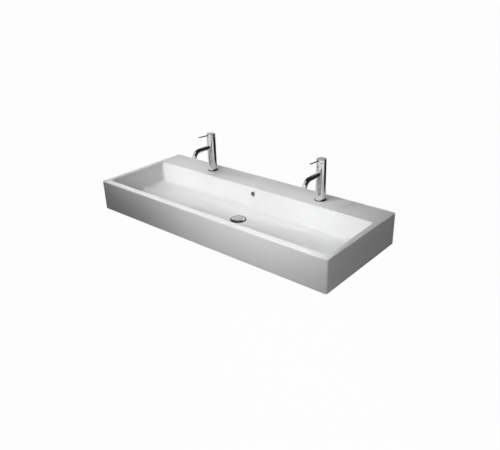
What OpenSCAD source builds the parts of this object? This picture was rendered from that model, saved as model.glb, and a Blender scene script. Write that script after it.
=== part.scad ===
// Wall-hung washbasin for two users: one long bowl, two lever taps and a push-open waste.
// Origin on the back face, midway between the two wall fixing holes.
// +X runs along the width, -Y points to the user and +Z is up.

/* [Basin] */
// Width of the basin
basin_w = 1200; // [900:10:1400]
// Depth of the basin, from the wall to the front
basin_d = 470; // [440:5:520]
// Height of the skirt, from the rim to its lower edge
basin_h = 132; // [129:1:170]
// Radius of the four upright outer corners
corner_r = 7; // [5:0.5:12]
// Rounding of the outer edge of the rim
edge_r = 4; // [2:0.5:4.5]
// Wall thickness of the skirt
skirt_wall = 10; // [8:0.5:12]
// Thickness of the rim and the tap deck
deck_thick = 14; // [12:0.5:18]

/* [Bowl] */
// Width of the front rim
rim_front = 30; // [28:1:60]
// Width of the rim at each side
rim_side = 23.5; // [22:0.5:60]
// Depth of the tap deck, from the wall to the bowl
deck_depth = 130; // [126:1:150]
// Depth of the bowl at the foot of its walls
bowl_depth = 98; // [80:1:100]
// Fall of the floor from the foot of the walls to the waste
bowl_fall = 12; // [8:0.5:13]
// Distance that each bowl wall leans inwards over its height
bowl_draft = 6; // [3:0.5:10]
// Thickness of the bowl's shell
bowl_wall = 9; // [7:0.5:10]
// Radius of the bowl's corners at the rim
bowl_corner_r = 10; // [6:1:20]
// Radius of the round between the bowl's walls and its floor
bowl_foot_r = 14; // [8:1:24]
// Rounding of the inner edge of the rim
lip_r = 3; // [2:0.5:4]

/* [Overflow] */
// Diameter of the overflow hole
overflow_d = 20; // [14:1:26]
// Depth of the overflow hole's centre below the rim
overflow_drop = 29; // [24:1:45]
// Width of the passage inside the overflow duct
duct_w = 24; // [16:1:34]
// Depth of the upright passage, front to back
duct_d = 10; // [8:0.5:14]
// Height of the passage that runs under the floor
duct_h = 9; // [6:0.5:9]
// Wall thickness of the duct
duct_wall = 6; // [4:0.5:8]

/* [Wall fixing] */
// Distance between the two wall fixing holes
fix_spacing = 850; // [500:10:1000]
// Depth of the fixing holes below the rim
fix_drop = 72; // [60:1:85]
// Diameter of each fixing hole
fix_hole_d = 22; // [12:1:30]
// Width of the flat pad behind each fixing hole
fix_pad_d = 50; // [40:1:60]
// Thickness that the pad adds to the back wall
fix_pad_t = 6; // [3:0.5:10]

/* [Waste] */
// Distance of the waste from the wall
waste_back = 232; // [215:1:260]
// Diameter of the hole through the waste boss
waste_hole_d = 46; // [44:0.5:50]
// Radius of the level ring round the waste
waste_flat_r = 42; // [39:0.5:48]
// Depth of the seat that the flange is let into
waste_seat_depth = 3; // [2:0.5:3.5]
// Diameter of the flange ring
flange_d = 69; // [66:0.5:72]
// Height of the flange ring
flange_h = 4.5; // [4:0.25:6]
// Width of the rounded lip of the flange ring
flange_lip_w = 4.5; // [3.5:0.25:5]
// Thickness of the plate that the plug seals on
flange_plate = 1.8; // [1.5:0.1:2.4]
// Outer diameter of the threaded tail
tail_d = 41.9; // [40:0.1:42]
// Wall thickness of the tail
tail_wall = 2.4; // [1.8:0.1:3]
// Length of the tail below the back nut
tail_free = 43.5; // [30:0.5:80]
// Number of overflow windows in the tail
window_count = 4; // [3:1:6]
// Width of each overflow window
window_w = 14; // [8:1:16]
// Thickness of the seal under the flange
flange_seal_t = 1.5; // [1:0.1:2]
// Thickness of the tapered seal below the boss
lower_seal_t = 5; // [4:0.5:8]
// Height of the back nut
back_nut_h = 12; // [9:0.5:16]
// Width of the back nut across its corners
back_nut_d = 62; // [58:1:70]

/* [Plug] */
// Diameter of the plug cap
plug_d = 57.5; // [54:0.5:58]
// Rise of the plug cap's crown
plug_crown = 1.2; // [0.5:0.1:2]
// Thickness of the plug cap at its edge
plug_edge_t = 1.8; // [1.5:0.1:2.5]
// Travel of the plug from closed to open
plug_travel = 8; // [5:0.5:9]
// Section diameter of the plug's seal ring
plug_ring_t = 2.4; // [1.8:0.1:2.6]
// Diameter of the plunger rod
plunger_d = 6; // [5:0.5:6]
// Outer diameter of the click cartridge
click_d = 11; // [10.5:0.5:13]
// Length of the click cartridge
click_len = 42; // [38:1:46]
// Wire diameter of the click spring
spring_wire = 0.8; // [0.6:0.1:0.9]
// Turns of the click spring
spring_turns = 10; // [8:1:14]

/* [Taps] */
// Distance between the two taps
tap_spacing = 600; // [500:2:800]
// Distance of the taps from the wall
tap_back = 65; // [48:1:66]
// Diameter of the tap holes
tap_hole_d = 35; // [34:0.5:36]
// Diameter of the tap body
tap_d = 40; // [40:0.5:46]
// Height of the tap body above its seal
tap_h = 159; // [140:1:240]
// Diameter of the base ring
base_ring_d = 49; // [48:0.5:54]
// Height of the base ring
base_ring_h = 8; // [8:0.5:14]
// Thickness of the seal under the tap
base_seal_t = 1.2; // [0.8:0.1:2]
// Diameter of the spigot that centres the tap in its hole
spigot_d = 33; // [32:0.5:33.5]
// Length of the spigot below the tap's foot
spigot_len = 9; // [6:0.5:12]
// Wall thickness of the hollow spigot
spigot_wall = 1.9; // [1.2:0.1:2]
// Bore of each hose inlet
inlet_d = 9; // [8:0.1:9.4]
// Depth of each hose inlet
inlet_len = 12; // [8:1:16]
// Distance between the two hose inlets
inlet_spacing = 17.2; // [16:0.1:18]
// Distance of the hose inlets in front of the tap's axis
inlet_front = 5; // [4:0.5:6]

/* [Spout] */
// Outer diameter of the spout tube
spout_d = 20; // [16:0.5:20]
// Wall thickness of the spout tube
spout_wall = 1.5; // [1:0.1:2.5]
// Depth of the spout below the top of the tap body
spout_drop = 48; // [48:1:80]
// Straight length of the spout from the tap's axis
spout_reach = 81; // [60:1:120]
// Bend radius of the spout
spout_bend_r = 32; // [24:1:50]
// Angle through which the spout bends down
spout_bend = 68; // [40:1:90]
// Straight length of the mouth after the bend
spout_end = 8; // [6:0.5:20]
// Length of the aerator in the spout's mouth
aerator_len = 7; // [4:0.5:7]
// Width of each hole in the aerator's face
aerator_hole_d = 1.9; // [1.4:0.1:2.2]

/* [Lever] */
// Height of the lever cap
cap_h = 12; // [10:0.5:16]
// Gap between the tap body and the lever cap
cap_gap = 1; // [0.8:0.1:2]
// Angle that the lever lifts from closed to full flow
lift_angle = 20; // [15:1:20]
// Spare angle of the cut under the back of the cap
cap_relief = 2; // [1.5:0.5:3]
// Reach of the lever's tip from the tap's axis
lever_reach = 80; // [60:1:110]
// Diameter of the lever at the cap
lever_d = 6; // [5:0.5:7]
// Diameter of the lever near its tip
lever_tip_d = 5; // [4:0.5:6]
// Angle that the lever rises towards its tip
lever_rise = 4; // [0:1:8]
// Diameter of the thread that holds the lever
lever_thread_d = 5; // [4:0.5:5]
// Length of the grub screw
grub_len = 5; // [4:0.5:6]

/* [Cartridge] */
// Diameter of the cartridge
cartridge_d = 30; // [28:0.5:32]
// Depth of the lever's pivot below the top of the tap body
pivot_drop = 11; // [10.6:0.1:11.4]
// Wall thickness of the cartridge housing
housing_wall = 2.3; // [1.5:0.1:2.5]
// Thickness of the cartridge base
cartridge_base_t = 4; // [3:0.5:5]
// Thickness of each ceramic disc
disc_t = 3; // [2.5:0.5:3]
// Diameter of the moving disc
moving_disc_d = 16; // [14:0.5:16]
// Thickness of the disc carrier
carrier_t = 5; // [4.6:0.1:5]
// Height of the rotor's collar
rotor_collar_h = 4.5; // [3.5:0.5:4.5]
// Diameter of the rotor's neck
rotor_neck_d = 18; // [16:0.5:18]
// Height of the pivot pin above the cartridge seat
pivot_h = 23; // [23:0.1:23.6]
// Length of the stem from its pivot down to its ball
stem_arm = 9.5; // [9:0.1:9.7]
// Diameter of the pivot pin
pivot_d = 3; // [2.5:0.1:3]
// Width of the stem through the rotor
stem_w = 6; // [5:0.5:6]
// Width of the square at the stem's top
stem_square = 8; // [7:0.5:8]
// Diameter of the ball at the stem's foot
stem_ball_d = 5; // [4:0.5:5]
// Height of the cartridge nut
cartridge_nut_h = 7; // [5:0.5:7]

/* [Tap fixing] */
// Diameter of the fixing stud
stud_d = 8; // [6:0.5:8]
// Length of the fixing stud below the tap's foot
stud_len = 62; // [50:1:80]
// Distance of the stud behind the tap's axis
stud_back = 9; // [8:0.5:10]
// Diameter of the horseshoe washer and clamp
shoe_d = 50; // [46:1:56]
// Width of the horseshoe's mouth, where the hoses pass
shoe_mouth = 30; // [28:0.5:32]
// Thickness of the rubber horseshoe washer
rubber_shoe_t = 3; // [2:0.5:4]
// Thickness of the steel horseshoe clamp
clamp_shoe_t = 2.5; // [2:0.1:4]
// Width of the stud nut across its flats
stud_nut_af = 13; // [11:1:14]
// Height of the stud nut
stud_nut_h = 6.5; // [5:0.5:8]

/* [Fits] */
// Radial gap of screwed and pushed fits
fit_gap = 0.1; // [0.05:0.01:0.2]
// Radial gap of pins and shafts that turn
run_gap = 0.05; // [0.02:0.01:0.08]
// Gap between other parts that move past each other
move_gap = 0.3; // [0.2:0.05:0.4]
// Small edge break on machined parts
chamfer = 0.5; // [0.2:0.1:0.8]

/* [Hidden] */
$fn = 96;
hull_fn = 32;
eps = 0.01;
through = 1;
left = -1;
right = 1;

rim_z = fix_drop;
skirt_z = rim_z - basin_h;

bowl_w = basin_w - 2 * rim_side;
bowl_back = deck_depth;
bowl_front = basin_d - rim_front;
foot_z = rim_z - bowl_depth;
drain_z = foot_z - bowl_fall;
seat_z = drain_z - waste_seat_depth;
boss_lift = 1;
boss_z = skirt_z + boss_lift;
boss_margin = 4;
boss_r = waste_flat_r + boss_margin;
waste_hole_r = waste_hole_d / 2;
seat_gap = 1.5;
seat_r = flange_d / 2 + seat_gap;

duct_roof = 3.5;
duct_top_z = seat_z - duct_roof;
duct_back = bowl_back - bowl_wall - duct_d;
duct_headroom = 2;
duct_peak_z = rim_z - overflow_drop + overflow_d / 2 + duct_headroom;

flange_r = flange_d / 2;
flange_z = seat_z + flange_seal_t;
tail_r = tail_d / 2;
tail_bore_r = tail_r - tail_wall;
boss_len = flange_z - boss_z;
relief_w = 2;
relief_depth = 0.8;
lower_seal_inset = 2;
lower_seal_taper = 3;
lower_seal_r = back_nut_d / 2 - lower_seal_inset;
relief_gap = 1.5;
relief_z = -boss_len - lower_seal_t - back_nut_h - relief_gap - relief_w;
tail_len = boss_len + lower_seal_t + back_nut_h + tail_free;
window_z = duct_top_z - duct_h - flange_z;
plug_seat_z = flange_plate;
plug_lift = 0.8;
plug_under_z = plug_seat_z + plug_lift;
plug_r = plug_d / 2;
plug_ring_inset = 4.5;
plug_ring_r = plug_r - plug_ring_inset;
plug_boss_r = 6;
plug_boss_len = 6;
click_r = click_d / 2;
hub_below_windows = 10;
hub_top_z = window_z - hub_below_windows;
hub_h = 8;
hub_wall = 3.2;
hub_r = click_r + hub_wall;
hub_arm_w = 3.5;
collar_above_hub = 4;
click_above_hub = 10;
click_top_z = hub_top_z + click_above_hub;
click_bottom_z = click_top_z - click_len;
click_wall = 1.3;
click_bore_r = click_r - click_wall;
click_end = 2;
plunger_r = plunger_d / 2;
plunger_foot_r = click_bore_r - move_gap;
plunger_foot_h = 2;
plunger_foot_z = click_top_z - click_end - plug_travel - plunger_foot_h - move_gap;
spring_bottom_z = click_bottom_z + click_end;
spring_clear = 0.2;
spring_steps = 12;
spring_sides = 6;

tap_r = tap_d / 2;
tap_top = base_seal_t + tap_h;
spigot_bottom = base_seal_t - spigot_len;
cartridge_r = cartridge_d / 2;
pivot_z = tap_top - pivot_drop;
cart_z = pivot_z - pivot_h;
base_top = cart_z + cartridge_base_t;
fixed_top = base_top + disc_t;
disc_gap = 0.05;
moving_z = fixed_top + disc_gap;
moving_top = moving_z + disc_t;
carrier_top = moving_top + carrier_t;
carrier_floor = 0.6;
collar_z = carrier_top + move_gap;
collar_top = collar_z + rotor_collar_h;
housing_bore_r = cartridge_r - fit_gap - housing_wall;
roof_t = 2.5;
slot_spare = 1;
housing_top = collar_top + move_gap + roof_t;
neck_r = rotor_neck_d / 2;
neck_above_pivot = 3;
neck_top = pivot_z + neck_above_pivot;
ball_z = pivot_z - stem_arm;
stem_neck_d = stem_ball_d - 1.4;
stem_bar_z = ball_z + stem_ball_d;
square_above_neck = 3;
stem_square_z = neck_top + square_above_neck;
cap_z = tap_top + cap_gap;
cap_top = cap_z + cap_h;
cap_roof = 3;
cap_cut_drop = 0.2;
stem_top = cap_top - cap_roof;
lever_below_mid = 0.5;
lever_z = cap_z + cap_h / 2 - lever_below_mid;
grub_socket = 2.5;
grub_start = stem_square / 2 + fit_gap + lever_thread_d / 2 * sin(lever_rise);
lever_start = grub_start + grub_len + move_gap;
lever_root = tap_r + move_gap;
port_r = 2.8;
port_miss = 0.2;
port_front = inlet_front - port_r - port_miss;
base_port_shift = 1.2;
base_port_r = port_r + base_port_shift + 0.1;
disc_port_shift = 2.6;
disc_port_r = port_r - 0.6;
outlet_r = 4;
disc_outlet_r = outlet_r - 0.8;
disc_pocket_shift = 1;
outlet_back = 7;
nut_bore_r = neck_r + 2 * move_gap;
nut_slot_w = 3;
nut_slot_h = 2;

spout_r = spout_d / 2;
spout_bore_r = spout_r - spout_wall;
spout_socket = 6;
spout_z = tap_top - spout_drop;
mouth_step = 0.05;
mouth_overlap = 0.5;
aerator_inset = 0.5;
aerator_wall = 1.6;
aerator_pitch = 2.7;

base_ring_foot = 2;
base_ring_lip = 0.8;
under_deck = -deck_thick;
shoe_bottom = under_deck - rubber_shoe_t;
clamp_bottom = shoe_bottom - clamp_shoe_t;
shoe_web = 3.5;
stud_depth = 10;

// Places a waste part, whose own zero height is the underside of the flange
module at_waste()
    translate([0, -waste_back, flange_z])
        children();

// Places a tap part, whose own zero height is the top of the deck
module at_tap(side)
    translate([side * tap_spacing / 2, -tap_back, rim_z])
        children();

// Flat ring between two radii
module ring(outer_r, inner_r, h)
    difference() {
        cylinder(r = outer_r, h = h);
        translate([0, 0, -through])
            cylinder(r = inner_r, h = h + 2 * through);
    }

// Rectangle with round corners, made of squares and circles
module round_rect(w, d, r) {
    square([w - 2 * r, d], center = true);
    square([w, d - 2 * r], center = true);
    for (x = [-1, 1], y = [-1, 1])
        translate([x * (w / 2 - r), y * (d / 2 - r)])
            circle(r = r);
}

// Outside of the casting, with its upright corners and rim edge rounded
module outer_form()
    hull()
        for (x = [-1, 1], y = [corner_r, basin_d - corner_r])
            translate([x * (basin_w / 2 - corner_r), -y, 0]) {
                translate([0, 0, skirt_z])
                    cylinder(r = corner_r, h = 1, $fn = hull_fn);
                translate([0, 0, rim_z - edge_r])
                    rotate_extrude($fn = hull_fn)
                        translate([corner_r - edge_r, 0])
                            intersection() {
                                circle(r = edge_r, $fn = hull_fn);
                                square(edge_r);
                            }
            }

// Inside of the bowl, or its outside when it is grown by the shell's thickness
module bowl_form(grow, top_z)
    hull() {
        for (x = [-1, 1], y = [bowl_back + bowl_corner_r, bowl_front - bowl_corner_r])
            translate([x * (bowl_w / 2 - bowl_corner_r), -y, top_z])
                cylinder(r = bowl_corner_r + grow, h = 1, $fn = hull_fn);
        for (x = [-1, 1], y = [bowl_back + bowl_draft + bowl_foot_r,
                               bowl_front - bowl_draft - bowl_foot_r])
            translate([x * (bowl_w / 2 - bowl_draft - bowl_foot_r), -y, foot_z + bowl_foot_r])
                sphere(r = bowl_foot_r + grow, $fn = hull_fn);
        translate([0, -waste_back, drain_z - grow])
            cylinder(r = waste_flat_r, h = 1, $fn = 2 * hull_fn);
    }

// Outline slice of the bowl's mouth, widened for the rounded lip
module mouth_slice(widen, z)
    for (x = [-1, 1], y = [bowl_back + bowl_corner_r, bowl_front - bowl_corner_r])
        translate([x * (bowl_w / 2 - bowl_corner_r), -y, z])
            cylinder(r = bowl_corner_r + widen, h = eps, $fn = hull_fn);

// Rounded inner edge of the rim, as a few narrow bands
module lip_cut() {
    lip_steps = 3;
    for (i = [0 : lip_steps - 1])
        hull() {
            a = i * 90 / lip_steps;
            b = (i + 1) * 90 / lip_steps;
            mouth_slice(lip_r * (1 - sin(a)), rim_z - lip_r * (1 - cos(a)));
            mouth_slice(lip_r * (1 - sin(b)), rim_z - lip_r * (1 - cos(b)));
        }
}

// Box from one corner to the opposite corner
module span(low, high)
    translate(low)
        cube(high - low);

module overflow_duct() {
    half = duct_w / 2 + duct_wall;
    span([-half, -bowl_back - bowl_draft, boss_z],
         [half, -duct_back + duct_wall, duct_peak_z + duct_wall]);
    span([-half, -waste_back, boss_z],
         [half, -bowl_back, foot_z - bowl_wall / 2]);
}

module overflow_passage() {
    half = duct_w / 2;
    span([-half, -duct_back - duct_d, duct_top_z - duct_h],
         [half, -duct_back, duct_peak_z]);
    span([-half, -waste_back, duct_top_z - duct_h],
         [half, -duct_back, duct_top_z]);
    translate([0, -duct_back - duct_d / 2, rim_z - overflow_drop])
        rotate([90, 0, 0])
            cylinder(d = overflow_d, h = bowl_wall + duct_d + bowl_draft);
}

module basin()
    color("white")
        difference() {
            union() {
                difference() {
                    outer_form();
                    translate([0, -basin_d / 2, skirt_z - through])
                        linear_extrude(basin_h - deck_thick + through)
                            round_rect(basin_w - 2 * skirt_wall, basin_d - 2 * skirt_wall,
                                       corner_r);
                }
                bowl_form(bowl_wall, rim_z - deck_thick / 2);
                translate([0, -waste_back, boss_z])
                    cylinder(r = boss_r, h = drain_z - boss_z - through);
                overflow_duct();
                for (x = [-1, 1])
                    translate([x * fix_spacing / 2, -skirt_wall - fix_pad_t, 0])
                        rotate([-90, 0, 0])
                            cylinder(d = fix_pad_d, h = fix_pad_t + skirt_wall / 2);
            }
            bowl_form(0, rim_z);
            lip_cut();
            translate([0, -waste_back, seat_z])
                cylinder(r = seat_r, h = waste_seat_depth + through);
            translate([0, -waste_back, boss_z - through])
                cylinder(r = waste_hole_r, h = boss_len + 2 * through);
            overflow_passage();
            for (side = [left, right]) {
                at_tap(side)
                    translate([0, 0, -deck_thick - through])
                        cylinder(d = tap_hole_d, h = deck_thick + 2 * through);
                translate([side * fix_spacing / 2, through, 0])
                    rotate([90, 0, 0])
                        cylinder(d = fix_hole_d, h = skirt_wall + fix_pad_t + 2 * through);
            }
        }

module waste_body()
    color("silver")
        difference() {
            union() {
                rotate_extrude() {
                    translate([tail_bore_r, -tail_len])
                        square([tail_wall, tail_len + flange_plate]);
                    translate([tail_bore_r, 0])
                        square([flange_r - flange_lip_w / 2 - tail_bore_r, flange_plate]);
                    translate([flange_r - flange_lip_w, flange_plate / 2])
                        square([flange_lip_w, flange_h - flange_lip_w / 2 - flange_plate / 2]);
                    translate([flange_r - flange_lip_w, 0])
                        square([flange_lip_w - chamfer, flange_plate]);
                    translate([flange_r - flange_lip_w / 2, flange_h - flange_lip_w / 2])
                        circle(d = flange_lip_w);
                }
                translate([0, 0, hub_top_z - hub_h]) {
                    cylinder(r = hub_r, h = hub_h);
                    for (a = [90 : 120 : 330])
                        rotate(a)
                            translate([0, -hub_arm_w / 2, 0])
                                cube([tail_bore_r + tail_wall / 2, hub_arm_w, hub_h]);
                }
            }
            translate([0, 0, hub_top_z - hub_h - through])
                cylinder(r = click_r + fit_gap, h = hub_h + 2 * through);
            translate([0, 0, relief_z])
                ring(tail_r + through, tail_r - relief_depth, relief_w);
            for (i = [0 : window_count - 1])
                rotate(45 + i * 360 / window_count)
                    translate([tail_bore_r - through, -window_w / 2, window_z])
                        cube([tail_wall + 2 * through, window_w, duct_h]);
        }

module waste_flange_seal()
    color("dimgray")
        translate([0, 0, -flange_seal_t])
            ring(flange_r - chamfer, tail_r + fit_gap, flange_seal_t);

module waste_lower_seal()
    color("dimgray")
        translate([0, 0, -boss_len - lower_seal_t])
            difference() {
                cylinder(r1 = lower_seal_r, r2 = lower_seal_r - lower_seal_taper, h = lower_seal_t);
                translate([0, 0, -through])
                    cylinder(r = tail_r + fit_gap, h = lower_seal_t + 2 * through);
            }

module waste_back_nut()
    color("gold")
        translate([0, 0, -boss_len - lower_seal_t - back_nut_h])
            difference() {
                cylinder(d = back_nut_d, h = back_nut_h, $fn = 6);
                translate([0, 0, -through])
                    cylinder(r = tail_r + fit_gap, h = back_nut_h + 2 * through);
            }

module click_housing()
    color("gold")
        difference() {
            union() {
                translate([0, 0, click_bottom_z])
                    cylinder(r = click_r, h = click_len);
                translate([0, 0, hub_top_z])
                    cylinder(r = hub_r, h = collar_above_hub, $fn = 6);
            }
            translate([0, 0, spring_bottom_z])
                cylinder(r = click_bore_r, h = click_len - 2 * click_end);
            translate([0, 0, click_top_z - click_end - through])
                cylinder(r = plunger_r + run_gap, h = click_end + 2 * through);
        }

// Point on the spring's wire at a number of turns from its lower end
function coil_point(t, around) =
    let (mean_r = plunger_foot_r - spring_wire / 2 - spring_clear,
         rise = plunger_foot_z - spring_bottom_z - spring_wire,
         r = mean_r + spring_wire / 2 * cos(around))
    [r * cos(360 * t), r * sin(360 * t),
     spring_wire / 2 + rise * t / spring_turns + spring_wire / 2 * sin(around)];

module click_spring() {
    sides = spring_sides;
    steps = spring_steps * spring_turns;
    points = [for (i = [0 : steps], j = [0 : sides - 1])
        coil_point(i * spring_turns / steps, j * 360 / sides)];
    skin = [for (i = [0 : steps - 1], j = [0 : sides - 1], half = [0, 1])
        let (a = i * sides + j,
             b = i * sides + (j + 1) % sides)
        half == 0 ? [a, a + sides, b] : [b, a + sides, b + sides]];
    ends = [for (j = [1 : sides - 2], end = [0, 1])
        let (base = end * steps * sides)
        end == 0 ? [base, base + j, base + j + 1] : [base, base + j + 1, base + j]];
    color("silver")
        translate([0, 0, spring_bottom_z])
            polyhedron(points, concat(skin, ends));
}

module plug_plunger()
    color("silver") {
        translate([0, 0, plunger_foot_z])
            cylinder(r = plunger_r, h = plug_under_z - plunger_foot_z);
        translate([0, 0, plunger_foot_z])
            cylinder(r = plunger_foot_r, h = plunger_foot_h);
    }

module plug_cap()
    color("gainsboro")
        difference() {
            union() {
                rotate_extrude()
                    intersection() {
                        translate([0, plug_under_z])
                            square([plug_r, plug_edge_t + plug_crown]);
                        dome_r = (plug_r * plug_r + plug_crown * plug_crown) / (2 * plug_crown);
                        translate([0, plug_under_z + plug_edge_t + plug_crown - dome_r])
                            circle(r = dome_r, $fn = 720);
                    }
                translate([0, 0, plug_under_z - plug_boss_len])
                    cylinder(r = plug_boss_r, h = plug_boss_len + eps);
            }
            translate([0, 0, plug_under_z - plug_boss_len - through])
                cylinder(r = plunger_r + fit_gap, h = plug_boss_len + through);
            translate([0, 0, plug_seat_z + plug_ring_t / 2])
                rotate_extrude()
                    translate([plug_ring_r, 0])
                        circle(d = plug_ring_t + fit_gap);
        }

module plug_seal()
    color("dimgray")
        translate([0, 0, plug_seat_z + plug_ring_t / 2])
            rotate_extrude()
                translate([plug_ring_r, 0])
                    circle(d = plug_ring_t);

// Round bar with both end edges broken
module turned_bar(r, h)
    rotate_extrude()
        polygon([[0, 0], [r - chamfer, 0], [r, chamfer],
                 [r, h - chamfer], [r - chamfer, h], [0, h]]);

module tap_body()
    color("silver")
        difference() {
            union() {
                translate([0, 0, base_seal_t])
                    turned_bar(tap_r, tap_h);
                translate([0, 0, spigot_bottom])
                    turned_bar(spigot_d / 2, spigot_len + chamfer);
            }
            translate([0, 0, cart_z])
                cylinder(r = cartridge_r, h = tap_top - cart_z + through);
            translate([0, 0, spigot_bottom - through])
                cylinder(r = spigot_d / 2 - spigot_wall, h = spigot_len + through);
            for (x = [-1, 1])
                translate([x * inlet_spacing / 2, 0, base_seal_t]) {
                    translate([0, -inlet_front, -through])
                        cylinder(d = inlet_d, h = inlet_len + through);
                    translate([0, -port_front, inlet_len])
                        cylinder(r = port_r, h = cart_z - base_seal_t - inlet_len + through);
                }
            translate([0, outlet_back, spout_z - outlet_r])
                cylinder(r = outlet_r, h = cart_z - spout_z + outlet_r + through);
            translate([0, outlet_back, spout_z])
                rotate([90, 0, 0])
                    cylinder(r = outlet_r, h = tap_r + outlet_back);
            translate([0, -tap_r + spout_socket, spout_z])
                rotate([90, 0, 0])
                    cylinder(r = spout_r + fit_gap, h = spout_socket + through);
            translate([0, stud_back, base_seal_t - through])
                cylinder(r = stud_d / 2 + fit_gap, h = stud_depth + through);
        }

module base_ring()
    color("silver")
        translate([0, 0, base_seal_t])
            rotate_extrude() {
                inner = tap_r + fit_gap;
                flare_w = base_ring_d / 2 - tap_r - base_ring_lip;
                flare_h = base_ring_h - base_ring_foot;
                flare_r = (flare_w * flare_w + flare_h * flare_h) / (2 * flare_w);
                difference() {
                    translate([inner, 0])
                        square([base_ring_d / 2 - inner, base_ring_h]);
                    translate([tap_r + base_ring_lip + flare_r, base_ring_h])
                        circle(r = flare_r);
                }
            }

module base_seal()
    color("dimgray")
        ring(base_ring_d / 2 - chamfer, spigot_d / 2 + fit_gap, base_seal_t);

// Cross-section of the spout tube
module tube_section()
    difference() {
        circle(r = spout_r);
        circle(r = spout_bore_r);
    }

// Places a part at the end of the spout's bend, pointing out of it along +Z
module at_bend_end()
    translate([0, -spout_reach, spout_z - spout_bend_r])
        rotate([spout_bend, 0, 0])
            translate([0, 0, spout_bend_r])
                rotate([90, 0, 0])
                    children();

module spout()
    color("silver") {
        translate([0, -tap_r + spout_socket, spout_z])
            rotate([90, 0, 0])
                linear_extrude(spout_reach - tap_r + spout_socket)
                    tube_section();
        translate([0, -spout_reach, spout_z - spout_bend_r])
            rotate(a = 180, v = [1, 0, 1])
                rotate_extrude(angle = spout_bend)
                    translate([spout_bend_r, 0])
                        tube_section();
        at_bend_end()
            translate([0, 0, -mouth_overlap])
                ring(spout_r - mouth_step, spout_bore_r + mouth_step, spout_end + mouth_overlap);
    }

module aerator()
    color("gray")
        at_bend_end()
            translate([0, 0, spout_end - aerator_len - aerator_inset])
                difference() {
                    cylinder(r = spout_bore_r - fit_gap, h = aerator_len);
                    translate([0, 0, -through])
                        cylinder(r = spout_bore_r - aerator_wall, h = aerator_len - aerator_wall + through);
                    for (row = [0 : 2], i = [0 : max(0, 6 * row - 1)])
                        rotate(row == 0 ? 0 : i * 60 / row)
                            translate([row * aerator_pitch, 0, 0])
                                cylinder(d = aerator_hole_d, h = aerator_len + through);
                }

module cartridge_base()
    color("white")
        translate([0, 0, cart_z])
            difference() {
                cylinder(r = cartridge_r - fit_gap, h = cartridge_base_t);
                for (x = [-1, 1])
                    translate([x * (inlet_spacing / 2 - base_port_shift), -port_front, -through])
                        cylinder(r = base_port_r, h = cartridge_base_t + 2 * through);
                translate([0, outlet_back, -through])
                    cylinder(r = outlet_r, h = cartridge_base_t + 2 * through);
            }

module fixed_disc()
    color("ivory")
        translate([0, 0, base_top])
            difference() {
                cylinder(r = housing_bore_r - fit_gap, h = disc_t);
                for (x = [-1, 1])
                    translate([x * (inlet_spacing / 2 - disc_port_shift), disc_port_shift - inlet_front,
                               -through])
                        cylinder(r = disc_port_r, h = disc_t + 2 * through);
                translate([0, outlet_back, -through])
                    cylinder(r = disc_outlet_r, h = disc_t + 2 * through);
            }

module moving_disc()
    color("ivory")
        translate([0, 0, moving_z])
            difference() {
                cylinder(d = moving_disc_d, h = disc_t);
                translate([0, disc_pocket_shift, -through])
                    cylinder(r = moving_disc_d / 4, h = disc_t / 2 + through);
            }

module disc_carrier()
    color("white")
        translate([0, 0, moving_top])
            difference() {
                cylinder(d = moving_disc_d, h = carrier_t);
                translate([-stem_w / 2 - move_gap, -stem_ball_d / 2 - run_gap, carrier_floor])
                    cube([stem_w + 2 * move_gap, stem_ball_d + 2 * run_gap, carrier_t]);
            }

module rotor()
    color("lightgray")
        difference() {
            union() {
                translate([0, 0, collar_z])
                    cylinder(r = housing_bore_r - move_gap, h = rotor_collar_h);
                translate([0, 0, collar_z])
                    cylinder(r = neck_r, h = neck_top - collar_z);
            }
            slot_x = stem_w / 2 + run_gap;
            slot_front = stem_w / 2 + (pivot_z - collar_z) * tan(lift_angle) + slot_spare;
            slot_back = stem_w / 2 + neck_above_pivot * tan(lift_angle) + slot_spare;
            span([-slot_x, -slot_front, collar_z - through],
                 [slot_x, slot_back, neck_top + through]);
            translate([-neck_r - through, 0, pivot_z])
                rotate([0, 90, 0])
                    cylinder(r = pivot_d / 2 + run_gap, h = 2 * neck_r + 2 * through);
        }

module pivot_pin()
    color("silver")
        translate([-neck_r + chamfer, 0, pivot_z])
            rotate([0, 90, 0])
                cylinder(r = pivot_d / 2, h = 2 * (neck_r - chamfer));

module stem()
    color("silver")
        difference() {
            union() {
                translate([0, 0, ball_z])
                    sphere(d = stem_ball_d);
                translate([0, 0, ball_z])
                    cylinder(d = stem_neck_d, h = stem_ball_d + through);
                span([-stem_w / 2, -stem_w / 2, stem_bar_z],
                     [stem_w / 2, stem_w / 2, stem_square_z + through]);
                span([-stem_square / 2, -stem_square / 2, stem_square_z],
                     [stem_square / 2, stem_square / 2, stem_top]);
            }
            translate([-stem_w, 0, pivot_z])
                rotate([0, 90, 0])
                    cylinder(r = pivot_d / 2 + run_gap, h = 2 * stem_w);
        }

module cartridge_housing()
    color("white")
        difference() {
            translate([0, 0, base_top])
                cylinder(r = cartridge_r - fit_gap, h = housing_top - base_top);
            translate([0, 0, base_top - through])
                cylinder(r = housing_bore_r, h = collar_top + move_gap - base_top + through);
            translate([0, 0, base_top])
                cylinder(r = neck_r + move_gap, h = housing_top - base_top + through);
        }

module cartridge_nut()
    color("gold")
        translate([0, 0, housing_top])
            difference() {
                cylinder(r = cartridge_r - fit_gap, h = cartridge_nut_h);
                translate([0, 0, -through])
                    cylinder(r = nut_bore_r, h = cartridge_nut_h + 2 * through);
                for (a = [0, 90])
                    rotate(a)
                        translate([-cartridge_r, -nut_slot_w / 2, cartridge_nut_h - nut_slot_h])
                            cube([2 * cartridge_r, nut_slot_w, nut_slot_h + through]);
            }

// Places a part on the lever's axis, pointing out to the lever's tip along +Z
module on_lever()
    translate([0, 0, lever_z])
        rotate([90 - lever_rise, 0, 0])
            children();

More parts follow.
